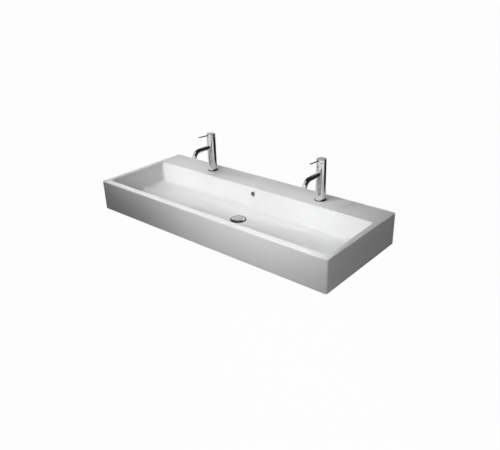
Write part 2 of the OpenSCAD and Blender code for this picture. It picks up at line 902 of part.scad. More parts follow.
module lever_cap()
    color("silver")
        difference() {
            translate([0, 0, cap_z])
                turned_bar(tap_r, cap_h);
            socket = stem_square / 2 + fit_gap;
            span([-socket, -socket, cap_z - through],
                 [socket, socket, stem_top + fit_gap]);
            translate([0, 0, cap_z - cap_cut_drop])
                rotate([lift_angle + cap_relief, 0, 0])
                    translate([-tap_r - through, 0, -tap_r])
                        cube([2 * tap_r + 2 * through, 2 * tap_r, tap_r]);
            on_lever()
                cylinder(d = lever_thread_d + 2 * fit_gap, h = tap_r + through);
        }

module lever_pin()
    color("silver")
        on_lever() {
            bar = lever_reach - lever_root;
            tip_r = lever_tip_d / 2;
            translate([0, 0, lever_start])
                cylinder(d = lever_thread_d, h = lever_root - lever_start + 1);
            translate([0, 0, lever_root])
                rotate_extrude()
                    intersection() {
                        union() {
                            polygon([[0, 0], [lever_d / 2, 0], [tip_r, bar - tip_r], [0, bar - tip_r]]);
                            translate([0, bar - tip_r])
                                circle(r = tip_r);
                        }
                        square([lever_d, bar]);
                    }
        }

module grub_screw()
    color("silver")
        on_lever()
            translate([0, 0, grub_start])
                difference() {
                    cylinder(d = lever_thread_d, h = grub_len);
                    translate([0, 0, grub_len - grub_socket])
                        cylinder(d = lever_thread_d / 2, h = grub_socket + through, $fn = 6);
                }

module fixing_stud()
    color("gold")
        translate([0, stud_back, base_seal_t - stud_len])
            cylinder(d = stud_d, h = stud_len + stud_depth - chamfer);

// Outline of the horseshoe, open to the front for the hoses
module shoe_outline()
    difference() {
        circle(d = shoe_d);
        translate([0, stud_back - stud_d / 2 - shoe_web - shoe_d / 2])
            round_rect(shoe_mouth, shoe_d, shoe_mouth / 5);
        translate([0, stud_back])
            circle(r = stud_d / 2 + 2 * fit_gap);
    }

module rubber_shoe()
    color("dimgray")
        translate([0, 0, shoe_bottom])
            linear_extrude(rubber_shoe_t)
                shoe_outline();

module clamp_shoe()
    color("silver")
        translate([0, 0, clamp_bottom])
            linear_extrude(clamp_shoe_t)
                shoe_outline();

module stud_nut()
    color("gold")
        translate([0, stud_back, clamp_bottom - stud_nut_h])
            difference() {
                cylinder(d = stud_nut_af / cos(30), h = stud_nut_h, $fn = 6);
                translate([0, 0, -through])
                    cylinder(r = stud_d / 2 + fit_gap, h = stud_nut_h + 2 * through);
            }

basin();
at_waste() waste_body();
at_waste() waste_flange_seal();
at_waste() waste_lower_seal();
at_waste() waste_back_nut();
at_waste() click_housing();
at_waste() click_spring();
at_waste() plug_plunger();
at_waste() plug_cap();
at_waste() plug_seal();
at_tap(left) tap_body();  // left_tap_body
at_tap(left) base_ring();  // left_base_ring
at_tap(left) base_seal();  // left_base_seal
at_tap(left) spout();  // left_spout
at_tap(left) aerator();  // left_aerator
at_tap(left) cartridge_base();  // left_cartridge_base
at_tap(left) cartridge_housing();  // left_cartridge_housing
at_tap(left) fixed_disc();  // left_fixed_disc
at_tap(left) moving_disc();  // left_moving_disc
at_tap(left) disc_carrier();  // left_disc_carrier
at_tap(left) rotor();  // left_rotor
at_tap(left) pivot_pin();  // left_pivot_pin
at_tap(left) stem();  // left_stem
at_tap(left) cartridge_nut();  // left_cartridge_nut
at_tap(left) lever_cap();  // left_lever_cap
at_tap(left) lever_pin();  // left_lever_pin
at_tap(left) grub_screw();  // left_grub_screw
at_tap(left) fixing_stud();  // left_fixing_stud
at_tap(left) rubber_shoe();  // left_rubber_shoe
at_tap(left) clamp_shoe();  // left_clamp_shoe
at_tap(left) stud_nut();  // left_stud_nut
at_tap(right) tap_body();  // right_tap_body
at_tap(right) base_ring();  // right_base_ring
at_tap(right) base_seal();  // right_base_seal
at_tap(right) spout();  // right_spout
at_tap(right) aerator();  // right_aerator
at_tap(right) cartridge_base();  // right_cartridge_base
at_tap(right) cartridge_housing();  // right_cartridge_housing
at_tap(right) fixed_disc();  // right_fixed_disc
at_tap(right) moving_disc();  // right_moving_disc
at_tap(right) disc_carrier();  // right_disc_carrier
at_tap(right) rotor();  // right_rotor
at_tap(right) pivot_pin();  // right_pivot_pin
at_tap(right) stem();  // right_stem
at_tap(right) cartridge_nut();  // right_cartridge_nut
at_tap(right) lever_cap();  // right_lever_cap
at_tap(right) lever_pin();  // right_lever_pin
at_tap(right) grub_screw();  // right_grub_screw
at_tap(right) fixing_stud();  // right_fixing_stud
at_tap(right) rubber_shoe();  // right_rubber_shoe
at_tap(right) clamp_shoe();  // right_clamp_shoe
at_tap(right) stud_nut();  // right_stud_nut
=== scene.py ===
import math
import bmesh
import bpy
from mathutils import Matrix, Vector


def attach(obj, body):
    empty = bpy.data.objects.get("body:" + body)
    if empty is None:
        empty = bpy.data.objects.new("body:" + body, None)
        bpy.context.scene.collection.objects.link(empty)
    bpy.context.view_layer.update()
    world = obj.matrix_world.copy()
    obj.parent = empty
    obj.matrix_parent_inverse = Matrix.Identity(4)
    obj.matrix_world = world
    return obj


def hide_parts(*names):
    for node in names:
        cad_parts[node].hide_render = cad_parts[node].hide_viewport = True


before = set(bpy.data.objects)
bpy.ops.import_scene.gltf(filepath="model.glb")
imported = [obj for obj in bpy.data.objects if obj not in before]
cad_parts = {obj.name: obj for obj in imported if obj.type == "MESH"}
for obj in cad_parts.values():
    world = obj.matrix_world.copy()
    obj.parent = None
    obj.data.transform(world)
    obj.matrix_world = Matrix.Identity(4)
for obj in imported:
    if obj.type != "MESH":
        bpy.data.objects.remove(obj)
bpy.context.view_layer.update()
scene = bpy.context.scene
print("frame loaded,", len(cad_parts), "nodes")

# New pieces are drawn in millimetres, in the frame's own axes, and finishPiece scales them to metres.
# Materials are given in metres, as Object coordinates are.
mm = 0.001
places = {"rimTop": 72, "tapX": 300, "tapBack": 65, "studBack": 9, "wasteBack": 232, "flangeUnder": -39.5}
tapSides = {"left": -places["tapX"], "right": places["tapX"]}


# Materials

def startMaterial(name, colour, metallic, roughness):
    material = bpy.data.materials.new(name)
    material.use_nodes = True
    tree = material.node_tree
    shader = next(n for n in tree.nodes if n.type == "BSDF_PRINCIPLED")
    shader.inputs["Base Color"].default_value = (*colour, 1)
    shader.inputs["Metallic"].default_value = metallic
    shader.inputs["Roughness"].default_value = roughness
    coords = tree.nodes.new("ShaderNodeTexCoord").outputs["Object"]
    return material, tree, shader, coords


def patches(tree, coords, size, detail=3, roughness=0.5):  # soft noise, its size in metres
    node = tree.nodes.new("ShaderNodeTexNoise")
    node.inputs["Scale"].default_value = 1 / size
    node.inputs["Detail"].default_value = detail
    node.inputs["Roughness"].default_value = roughness
    tree.links.new(coords, node.inputs["Vector"])
    return node.outputs["Fac"]


def between(tree, value, low, high, start=0.3, end=0.7, smooth=False):  # start to end becomes low to high
    node = tree.nodes.new("ShaderNodeMapRange")
    node.interpolation_type = "SMOOTHSTEP" if smooth else "LINEAR"
    node.inputs["From Min"].default_value = start
    node.inputs["From Max"].default_value = end
    node.inputs["To Min"].default_value = low
    node.inputs["To Max"].default_value = high
    tree.links.new(value, node.inputs["Value"])
    return node.outputs["Result"]


def blendColour(tree, factor, first, second):  # each colour is a tuple or a socket
    node = tree.nodes.new("ShaderNodeMix")
    node.data_type = "RGBA"
    tree.links.new(factor, node.inputs["Factor"])
    for socket, colour in ((node.inputs["A"], first), (node.inputs["B"], second)):
        if isinstance(colour, tuple):
            socket.default_value = (*colour, 1)
        else:
            tree.links.new(colour, socket)
    return node.outputs["Result"]


def combine(tree, operation, first, second):  # each value is a number or a socket
    node = tree.nodes.new("ShaderNodeMath")
    node.operation = operation
    for socket, value in zip(node.inputs, (first, second)):
        if isinstance(value, (int, float)):
            socket.default_value = value
        else:
            tree.links.new(value, socket)
    return node.outputs[0]


def relief(tree, shader, height, depth, strength, under=None):
    node = tree.nodes.new("ShaderNodeBump")
    node.inputs["Distance"].default_value = depth
    node.inputs["Strength"].default_value = strength
    tree.links.new(height, node.inputs["Height"])
    if under is not None:
        tree.links.new(under, node.inputs["Normal"])
    tree.links.new(node.outputs["Normal"], shader.inputs["Normal"])
    return node.outputs["Normal"]


def placed(tree, coords, centre, flat=False):  # moves a pattern's origin, and may leave height out of it
    node = tree.nodes.new("ShaderNodeMapping")
    node.inputs["Location"].default_value = tuple(-c for c in centre)
    node.inputs["Scale"].default_value = (1, 1, 0 if flat else 1)
    tree.links.new(coords, node.inputs["Vector"])
    return node.outputs["Vector"]


glazeLook = {
    "white": (0.765, 0.767, 0.765), "whiteThin": (0.74, 0.743, 0.74), "whiteSize": 0.14, "ior": 1.52,
    "speck": (0.70, 0.69, 0.66), "speckSize": 0.0016, "speckStrength": 0.55,
    "gloss": 0.07, "glossSpread": 0.05, "glossSize": 0.045, "waveSize": 0.085, "waveDepth": 0.00035,
    "clay": (0.60, 0.57, 0.52), "clayPale": (0.66, 0.63, 0.58), "claySize": 0.004, "clayRough": 0.8,
    "grainSize": 0.0009, "grainDepth": 0.0002,
    "bareBack": (-0.0016, -0.0008), "bareFoot": (-0.0594, -0.0588), "bareSize": 0.012, "bareWander": 0.0006,
    # the passage grey is painted shade inside the overflow's recess, darker than the bare clay
    "passage": (0.34, 0.335, 0.33), "passageFront": (-0.1325, -0.1295), "passageHalf": 0.0125,
    "passageTop": (0.054, 0.056),
}


def makeGlaze(g):
    material, tree, shader, coords = startMaterial("whiteGlaze", g["white"], 0, g["gloss"])
    shader.inputs["IOR"].default_value = g["ior"]
    cloud = between(tree, patches(tree, coords, g["whiteSize"], 2), 0, 1, 0.35, 0.65)
    white = blendColour(tree, cloud, g["white"], g["whiteThin"])
    # pinholes and specks in the glaze, under a millimetre across
    speck = between(tree, patches(tree, coords, g["speckSize"], 1, 0.3), 0, g["speckStrength"], 0.73, 0.78)
    white = blendColour(tree, speck, white, g["speck"])
    # the wall side and the foot of the skirt are wiped bare before firing
    split = tree.nodes.new("ShaderNodeSeparateXYZ")
    tree.links.new(coords, split.inputs["Vector"])
    edgeNoise = patches(tree, coords, g["bareSize"], 3)
    wander = between(tree, edgeNoise, -g["bareWander"], g["bareWander"], 0.2, 0.8)
    back = between(tree, combine(tree, "ADD", split.outputs["Y"], wander), 0, 1, *g["bareBack"], True)
    foot = between(tree, combine(tree, "ADD", split.outputs["Z"], wander), 1, 0, *g["bareFoot"], True)
    bare = combine(tree, "MAXIMUM", back, foot)
    # the glaze thins out inside the overflow's passage, where it is bare and a painted shade darkens it to a
    # grey deeper than the clay's own tone
    deep = between(tree, split.outputs["Y"], 0, 1, *g["passageFront"], True)
    across = tree.nodes.new("ShaderNodeMath")
    across.operation = "COMPARE"
    tree.links.new(split.outputs["X"], across.inputs[0])
    across.inputs[1].default_value = 0
    across.inputs[2].default_value = g["passageHalf"]
    low = between(tree, split.outputs["Z"], 1, 0, *g["passageTop"])
    passage = combine(tree, "MULTIPLY", combine(tree, "MULTIPLY", deep, across.outputs[0]), low)
    white = blendColour(tree, passage, white, g["passage"])
    mottle = between(tree, patches(tree, coords, g["claySize"], 4), 0, 1, 0.35, 0.65)
    clay = blendColour(tree, mottle, g["clay"], g["clayPale"])
    tree.links.new(blendColour(tree, bare, white, clay), shader.inputs["Base Color"])
    gloss = between(tree, patches(tree, coords, g["glossSize"], 4), g["gloss"], g["gloss"] + g["glossSpread"],
                    0.35, 0.7)
    rough = tree.nodes.new("ShaderNodeMix")
    tree.links.new(bare, rough.inputs["Factor"])
    tree.links.new(gloss, rough.inputs["A"])
    rough.inputs["B"].default_value = g["clayRough"]
    tree.links.new(rough.outputs["Result"], shader.inputs["Roughness"])
    wave = relief(tree, shader, patches(tree, coords, g["waveSize"], 1), g["waveDepth"], 0.5)
    grain = combine(tree, "MULTIPLY", patches(tree, coords, g["grainSize"], 2), bare)
    relief(tree, shader, grain, g["grainDepth"], 0.8, wave)
    return material


# outer is the tone beyond the band, which is counted from the piece's axis: a painted shadow, dark on a rim
# beside the ceramic, and a painted highlight, bright on the plug's edge round its face, which is dimmed to
# grey as painted shade
chromeLook = {
    "tap": {"colour": (0.93, 0.935, 0.94), "rough": 0.06, "smearSize": 0.03},
    # the base ring's foot gets a painted contact shadow, dark against the deck
    "ring": {"colour": (0.93, 0.935, 0.94), "rough": 0.06, "smearSize": 0.02,
             "outer": (0.10, 0.10, 0.10), "paintedBand": (0.0229, 0.0235)},
    # the flange's outer edge gets a painted shadow line where it meets the ceramic
    "flange": {"colour": (0.85, 0.855, 0.86), "rough": 0.07, "smearSize": 0.02,
               "outer": (0.11, 0.11, 0.11), "paintedBand": (0.0294, 0.0302)},
    # the plug's face is dimmed to grey as painted shade, and its edge is a painted highlight
    "plug": {"colour": (0.52, 0.52, 0.525), "rough": 0.12, "smearSize": 0.02,
             "outer": (0.93, 0.93, 0.93), "paintedBand": (0.0240, 0.0246)},
    "smearRough": 0.05, "tint": 0.96, "waveSize": 0.02, "waveDepth": 0.00002, "grainSize": 0.0012,
    "grainDepth": 0.000002, "zoneSize": 0.006, "zoneWander": 0.0003,
}


def makeChrome(name, look):
    c, rough, size = chromeLook, look["rough"], look["smearSize"]
    material, tree, shader, coords = startMaterial(name, look["colour"], 1, rough)
    smear = patches(tree, coords, size, 4, 0.6)
    smeared = between(tree, smear, rough, rough + c["smearRough"], 0.4, 0.75)
    tree.links.new(smeared, shader.inputs["Roughness"])
    cloud = between(tree, patches(tree, coords, size * 2, 2), 0, 1, 0.3, 0.7)
    tone = blendColour(tree, cloud, look["colour"], tuple(part * c["tint"] for part in look["colour"]))
    tree.links.new(tone, shader.inputs["Base Color"])
    plated = relief(tree, shader, patches(tree, coords, c["waveSize"], 1), c["waveDepth"], 0.4)
    relief(tree, shader, patches(tree, coords, c["grainSize"], 2), c["grainDepth"], 0.5, plated)
    return material


# paints a tone band by distance from an upright axis: painted shadow lines and a painted highlight
def makeChromeWithPaintedBand(name, look, centre):
    c = chromeLook
    material = makeChrome(name, look)
    tree = material.node_tree
    shader = next(n for n in tree.nodes if n.type == "BSDF_PRINCIPLED")
    coords = next(n for n in tree.nodes if n.type == "TEX_COORD").outputs["Object"]
    length = tree.nodes.new("ShaderNodeVectorMath")
    length.operation = "LENGTH"
    tree.links.new(placed(tree, coords, centre, True), length.inputs[0])
    wander = between(tree, patches(tree, coords, c["zoneSize"], 3), -c["zoneWander"], c["zoneWander"])
    distance = combine(tree, "ADD", length.outputs["Value"], wander)
    inner = shader.inputs["Base Color"].links[0].from_socket
    tone = blendColour(tree, between(tree, distance, 0, 1, *look["paintedBand"], True), inner, look["outer"])
    tree.links.new(tone, shader.inputs["Base Color"])
    return material


turnedLook = {
    "wasteBrass": {"colour": (0.62, 0.46, 0.20), "stain": (0.40, 0.28, 0.11), "rough": 0.28},
    "plugSteel": {"colour": (0.52, 0.52, 0.53), "stain": (0.36, 0.36, 0.37), "rough": 0.25},
    "tapBrass": {"colour": (0.60, 0.45, 0.20), "stain": (0.38, 0.27, 0.11), "rough": 0.3},
    "tapSteel": {"colour": (0.50, 0.50, 0.51), "stain": (0.33, 0.33, 0.34), "rough": 0.32},
    "stainSize": 0.007, "stainRough": 0.18, "lineScale": 0.3 / 0.00035, "lineDepth": 0.000025,
}


def makeTurnedMetal(name, look, centre):  # fine turning lines round an upright axis
    w, rough = turnedLook, look["rough"]
    material, tree, shader, coords = startMaterial(name, look["colour"], 1, rough)
    local = placed(tree, coords, centre)
    rings = tree.nodes.new("ShaderNodeTexWave")
    rings.wave_type = "RINGS"
    rings.rings_direction = "Z"
    lines = tree.nodes.new("ShaderNodeTexWave")
    lines.wave_type = "BANDS"
    lines.bands_direction = "Z"
    for node in (rings, lines):
        node.inputs["Scale"].default_value = w["lineScale"]
        node.inputs["Distortion"].default_value = 0.6
        node.inputs["Detail"].default_value = 1
        tree.links.new(local, node.inputs["Vector"])
    cut = combine(tree, "MULTIPLY", combine(tree, "ADD", rings.outputs["Fac"], lines.outputs["Fac"]), 0.5)
    stain = patches(tree, coords, w["stainSize"], 4, 0.6)
    tone = blendColour(tree, between(tree, stain, 0, 1, 0.4, 0.75), look["colour"], look["stain"])
    tree.links.new(tone, shader.inputs["Base Color"])
    stained = between(tree, stain, rough, rough + w["stainRough"], 0.35, 0.75)
    tree.links.new(stained, shader.inputs["Roughness"])
    relief(tree, shader, cut, w["lineDepth"], 0.6)
    return material


rubberLook = {
    "black": (0.02, 0.02, 0.021), "dusty": (0.05, 0.05, 0.05), "dustSize": 0.006, "rough": (0.52, 0.75),
    "grainSize": 0.0007, "grainDepth": 0.00004,
}


def makeRubber(r):
    material, tree, shader, coords = startMaterial("blackRubber", r["black"], 0, r["rough"][0])
    dust = between(tree, patches(tree, coords, r["dustSize"], 4, 0.65), 0, 1, 0.5, 0.8)
    tree.links.new(blendColour(tree, dust, r["black"], r["dusty"]), shader.inputs["Base Color"])
    tree.links.new(between(tree, dust, *r["rough"], 0, 1), shader.inputs["Roughness"])
    relief(tree, shader, patches(tree, coords, r["grainSize"], 3), r["grainDepth"], 0.7)
    return material


plasticLook = {
    "cartridge": {"colour": (0.74, 0.74, 0.70), "rough": 0.35},
    "aerator": {"colour": (0.22, 0.225, 0.23), "rough": 0.4},
    "cloudSize": 0.01, "cloudTint": 0.93, "matSize": 0.003, "matRough": 0.12,
    "grainSize": 0.0004, "grainDepth": 0.00001,
}


def makePlastic(name, look):
    p, rough = plasticLook, look["rough"]
    material, tree, shader, coords = startMaterial(name, look["colour"], 0, rough)
    cloud = between(tree, patches(tree, coords, p["cloudSize"], 3), 0, 1, 0.35, 0.7)
    tone = blendColour(tree, cloud, look["colour"], tuple(part * p["cloudTint"] for part in look["colour"]))
    tree.links.new(tone, shader.inputs["Base Color"])
    mat = between(tree, patches(tree, coords, p["matSize"], 3), rough, rough + p["matRough"])
    tree.links.new(mat, shader.inputs["Roughness"])
    relief(tree, shader, patches(tree, coords, p["grainSize"], 2), p["grainDepth"], 0.6)
    return material


discLook = {
    "pale": (0.80, 0.77, 0.70), "deep": (0.72, 0.69, 0.62), "ior": 1.7, "grainSize": 0.0005,
    "rough": (0.1, 0.2), "lapSize": 0.004,
}


def makeLappedCeramic(d):
    material, tree, shader, coords = startMaterial("lappedDisc", d["pale"], 0, d["rough"][0])
    shader.inputs["IOR"].default_value = d["ior"]
    grain = between(tree, patches(tree, coords, d["grainSize"], 4, 0.7), 0, 1)
    tree.links.new(blendColour(tree, grain, d["pale"], d["deep"]), shader.inputs["Base Color"])
    lapped = between(tree, patches(tree, coords, d["lapSize"], 2), *d["rough"])
    tree.links.new(lapped, shader.inputs["Roughness"])
    return material


def axisAt(x, back):  # an upright axis, x along the width and back from the wall in millimetres
    return x * mm, -back * mm, 0


glaze = makeGlaze(glazeLook)
tapChrome = makeChrome("tapChrome", chromeLook["tap"])
wasteAxis = axisAt(0, places["wasteBack"])
# the flange's chrome carries a painted shadow line round its outer edge
flangeChromePaintedShadow = makeChromeWithPaintedBand("flangeChromePaintedShadow", chromeLook["flange"], wasteAxis)
# the plug's chrome is dimmed to grey as painted shade, with a painted highlight round its edge
plugChromePaintedLight = makeChromeWithPaintedBand("plugChromePaintedLight", chromeLook["plug"], wasteAxis)
wasteBrass = makeTurnedMetal("wasteBrass", turnedLook["wasteBrass"], wasteAxis)
plugSteel = makeTurnedMetal("plugSteel", turnedLook["plugSteel"], wasteAxis)
rubber = makeRubber(rubberLook)
cartridgePlastic = makePlastic("cartridgePlastic", plasticLook["cartridge"])
aeratorPlastic = makePlastic("aeratorPlastic", plasticLook["aerator"])
discCeramic = makeLappedCeramic(discLook)
ringChromePaintedShadow, tapBrass, tapSteel = {}, {}, {}
for side, x in tapSides.items():
    tapAxis = axisAt(x, places["tapBack"])
    studAxis = axisAt(x, places["tapBack"] - places["studBack"])
    # each base ring's chrome carries a painted contact shadow round its foot
    ringChromePaintedShadow[side] = makeChromeWithPaintedBand(side + "RingChromePaintedShadow", chromeLook["ring"], tapAxis)
    tapBrass[side] = makeTurnedMetal(side + "TapBrass", turnedLook["tapBrass"], studAxis)
    tapSteel[side] = makeTurnedMetal(side + "TapSteel", turnedLook["tapSteel"], tapAxis)
print("materials made")


# Mesh helpers

def arc(across, up, radius, degrees):  # a profile's points on a round
    angles = [math.radians(a) for a in degrees]
    return [(across + radius * math.cos(a), up + radius * math.sin(a)) for a in angles]


def turned(profile, steps, closed=False):  # profile is (radius, height), from foot to top
    bm = bmesh.new()
    verts = [bm.verts.new((r, 0, z)) for r, z in profile]
    edges = [bm.edges.new(pair) for pair in zip(verts, verts[1:])]
    if closed:
        edges.append(bm.edges.new((verts[-1], verts[0])))
    bmesh.ops.spin(bm, geom=verts + edges, cent=(0, 0, 0), axis=(0, 0, 1), angle=math.tau, steps=steps,
                   use_merge=True, use_duplicate=False)
    bmesh.ops.remove_doubles(bm, verts=bm.verts, dist=0.0001)
    bmesh.ops.recalc_face_normals(bm, faces=bm.faces)
    return bm


def roundRings(bm, rings, width, segments):  # breaks the turned edges that lie at (radius, height)
    def onRing(v, r, z):
        return abs(math.hypot(v.co.x, v.co.y) - r) < 0.01 and abs(v.co.z - z) < 0.01
    chosen = [e for e in bm.edges if any(all(onRing(v, r, z) for v in e.verts) for r, z in rings)]
    bmesh.ops.bevel(bm, geom=chosen, offset=width, offset_type="OFFSET", segments=segments, profile=0.5,
                    affect="EDGES", material=-1, clamp_overlap=True)


def extrudeLoop(bm, edges):  # gives the new loop's verts and its edges
    made = bmesh.ops.extrude_edge_only(bm, edges=edges)["geom"]
    verts = [g for g in made if isinstance(g, bmesh.types.BMVert)]
    fresh = set(verts)
    return verts, [g for g in made if isinstance(g, bmesh.types.BMEdge) and all(v in fresh for v in g.verts)]


def moved(bm, x, y, z):
    bmesh.ops.translate(bm, vec=(x, y, z), verts=bm.verts)
    return bm


def rotated(bm, degrees, axis):
    turn = Matrix.Rotation(math.radians(degrees), 3, axis)
    bmesh.ops.rotate(bm, cent=(0, 0, 0), matrix=turn, verts=bm.verts)
    return bm


def cylinder(radius, height, steps):  # foot at zero height
    bm = bmesh.new()
    bmesh.ops.create_cone(bm, cap_ends=True, segments=steps, radius1=radius, radius2=radius, depth=height)
    return moved(bm, 0, 0, height / 2)


def block(low, high):
    bm = bmesh.new()
    bmesh.ops.create_cube(bm, size=1)
    bmesh.ops.scale(bm, vec=[b - a for a, b in zip(low, high)], verts=bm.verts)
    return moved(bm, *[(a + b) / 2 for a, b in zip(low, high)])


def shaped(bm, *steps):  # each step is ("DIFFERENCE", "UNION" or "INTERSECT", tool)
    def holder(source):
        mesh = bpy.data.meshes.new("tool")
        source.to_mesh(mesh)
        source.free()
        obj = bpy.data.objects.new("tool", mesh)
        scene.collection.objects.link(obj)
        return obj
    base = holder(bm)
    tools = []
    for operation, tool in steps:
        tools.append(holder(tool))
        modifier = base.modifiers.new(operation, "BOOLEAN")
        modifier.operation = operation
        modifier.object = tools[-1]
        modifier.solver = "EXACT"
    bpy.context.view_layer.update()
    result = bmesh.new()
    result.from_object(base, bpy.context.evaluated_depsgraph_get())
    for obj in [base] + tools:
        mesh = obj.data
        bpy.data.objects.remove(obj)
        bpy.data.meshes.remove(mesh)
    return result


def joined(*sources):
    bm = bmesh.new()
    for source in sources:
        mesh = bpy.data.meshes.new("part")
        source.to_mesh(mesh)
        source.free()
        bm.from_mesh(mesh)
        bpy.data.meshes.remove(mesh)
    return bm


def finishPiece(bm, name, material, body, slot, *replaced, sharp=32):  # edges over sharp degrees stay crisp
    bmesh.ops.remove_doubles(bm, verts=bm.verts, dist=0.0005)
    bmesh.ops.recalc_face_normals(bm, faces=bm.faces)
    bmesh.ops.scale(bm, vec=(mm, mm, mm), verts=bm.verts)
    for face in bm.faces:
        face.smooth = True
    for edge in bm.edges:
        if not edge.is_manifold or edge.calc_face_angle(0) > math.radians(sharp):
            edge.smooth = False
    mesh = bpy.data.meshes.new(name)
    bm.to_mesh(mesh)
    bm.free()
    mesh.materials.append(material)
    obj = bpy.data.objects.new(name, mesh)
    scene.collection.objects.link(obj)
    weighted = obj.modifiers.new("flatFacesStayFlat", "WEIGHTED_NORMAL")
    weighted.keep_sharp = True
    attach(obj, body)
    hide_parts(*replaced)


# Basin

basinSize = {
    "width": 1200, "depth": 470, "skirtFoot": -60, "skirtWall": 10, "deckUnder": 58, "cornerRadius": 7,
    "footRound": 1.5, "edgeRadius": 4, "lip": 3, "lipDraft": 0.2,
    "bowlHalf": 576.5, "bowlBack": 130, "bowlFront": 440, "bowlCorner": 10, "draft": 6, "shell": 9,
    "footZ": -26, "footRadius": 14, "footAngles": [4, 12, 22, 32, 42, 52, 62, 72, 80, 84.5],
    "drainZ": -38, "flatRadius": 42, "flatEdge": [(0.5, 0.03), (-2, 0)],
    "seatZ": -41, "seatRadius": 36, "seatEdge": [(0.8, 0), (0.2, -0.25), (0, -0.9)],
    "holeRadius": 23, "bossRadius": 46, "bossFoot": -59,
    "cornerSteps": 8, "longSteps": 40, "shortSteps": 16, "floorSteps": 14, "underSteps": 8,
    "discTurn": 20, "discPull": 0.35, "discRound": 0.1,
    "ductHalf": 18, "ductBack": 105, "ductFront": 128.5, "ductFoot": -20, "ductTop": 61,
    "ductCover": 4.5, "ductSink": 12,
    "ductRoof": [(-150, -30.5), (-137, -25.5), (-128.5, -13), (-105, -13)],
    "boreHalf": 12, "boreBack": 111, "boreFront": 121, "boreFoot": -53.5, "boreRoof": -44.5, "boreTop": 55,
    "overflowZ": 43, "overflowRadius": 10, "overflowFlare": 1.6, "overflowDeep": 14, "overflowOut": 6,
    "tapHole": 17.5, "tapHoleFoot": 50, "tapHoleLong": 30,
    "fixX": 425, "fixHole": 11, "fixLong": 24, "fixOut": 2, "padRadius": 25, "padDepth": 6, "padSink": 2,
}


# each point of a ring: its place on the ring's core rectangle (-1 to 1) and its outward direction
def basinSeeds(b):
    seeds = []
    corners = [(1, 1), (-1, 1), (-1, -1), (1, -1)]
    for i, (cx, cy) in enumerate(corners):
        for k in range(b["cornerSteps"] + 1):
            a = math.radians(90 * i + 90 * k / b["cornerSteps"])
            seeds.append((cx, cy, math.cos(a), math.sin(a)))
        nx, ny = corners[(i + 1) % 4]
        count = b["longSteps"] if nx != cx else b["shortSteps"]
        a = math.radians(90 * (i + 1))
        for k in range(1, count):
            t = k / count
            seeds.append((cx + (nx - cx) * t, cy + (ny - cy) * t, math.cos(a), math.sin(a)))
    return seeds


# each ring gives the place of its point i; they run from the skirt's foot over the rim to the underside
def basinRings(b, seeds):
    def box(half, back, front, radius, z):  # a ring on a rectangle with round corners
        def place(i):
            s, t, nx, ny = seeds[i]
            midY, spanY = -(back + front) / 2, (front - back) / 2
            return Vector((s * (half - radius) + nx * radius, midY + t * (spanY - radius) + ny * radius, z))
        return place

    def outer(inset, radius, z):
        return box(b["width"] / 2 - inset, inset, b["depth"] - inset, radius, z)

    def inner(out, radius, z):
        return box(b["bowlHalf"] + out, b["bowlBack"] - out, b["bowlFront"] + out, radius, z)

    def disc(radius, z):  # a ring round the waste, its points drawn from the corners towards even steps
        def place(i):
            s, t, nx, ny = seeds[i]
            keep = 1 - b["discRound"]
            a = math.atan2(t * keep + ny * b["discRound"], s * keep + nx * b["discRound"])
            even = math.tau * (i / len(seeds)) + math.radians(b["discTurn"])
            a = even + b["discPull"] * math.remainder(a - even, math.tau)
            return Vector((radius * math.cos(a), -places["wasteBack"] + radius * math.sin(a), z))
        return place

    def footRing(radius, degrees):  # a ring on the round between the bowl's walls and its floor
        a = math.radians(degrees)
        out = radius * math.cos(a)
        core = b["draft"] + b["footRadius"]
        return box(b["bowlHalf"] - core + out, b["bowlBack"] + core - out, b["bowlFront"] - core + out, out,
                   b["footZ"] + b["footRadius"] - radius * math.sin(a))

    def mixed(first, second, t):
        return lambda i: first(i).lerp(second(i), t)

    rimTop, corner, edge, lip = places["rimTop"], b["cornerRadius"], b["edgeRadius"], b["lip"]
    foot, wall, shell, drainZ = b["footRound"], b["skirtWall"], b["shell"], b["drainZ"]
    rings = []
    for a in (0, 45, 90):  # foot of the skirt
        inset, rise = foot * (1 - math.sin(math.radians(a))), foot * (1 - math.cos(math.radians(a)))
        rings.append(outer(inset, corner - inset, b["skirtFoot"] + rise))
    for a in range(0, 91, 15):  # outer edge of the rim
        inset, rise = edge * (1 - math.cos(math.radians(a))), edge * math.sin(math.radians(a))
        rings.append(outer(inset, corner - inset, rimTop - edge + rise))
    for a in range(0, 91, 18):  # inner edge of the rim
        out, drop = lip * (1 - math.sin(math.radians(a))), lip * (1 - math.cos(math.radians(a)))
        rings.append(inner(out - b["lipDraft"] * a / 90, b["bowlCorner"] + out, rimTop - drop))
    rings += [footRing(b["footRadius"], a) for a in b["footAngles"]]
    bowlFoot, flat = rings[-1], disc(b["flatRadius"], drainZ)
    rings += [mixed(bowlFoot, flat, k / b["floorSteps"]) for k in range(1, b["floorSteps"])]
    rings += [disc(b["flatRadius"] + out, drainZ + up) for out, up in b["flatEdge"]]
    rings += [disc(b["seatRadius"] + out, drainZ + up) for out, up in b["seatEdge"]]
    rings += [disc(b["seatRadius"], b["seatZ"]), disc(b["holeRadius"], b["seatZ"]),
              disc(b["holeRadius"], b["bossFoot"]), disc(b["bossRadius"], b["bossFoot"])]
    bossTop = disc(b["bossRadius"], drainZ - shell)
    underFoot = footRing(b["footRadius"] + shell, b["footAngles"][-1])
    rings.append(bossTop)
    rings += [mixed(bossTop, underFoot, k / b["underSteps"]) for k in range(1, b["underSteps"])]
    rings += [footRing(b["footRadius"] + shell, a) for a in reversed(b["footAngles"])]
    rings += [inner(shell, b["bowlCorner"] + shell, b["deckUnder"]), outer(wall, corner, b["deckUnder"]),
              outer(wall, corner, b["skirtFoot"] + foot), outer(wall - foot, corner, b["skirtFoot"])]
    return rings


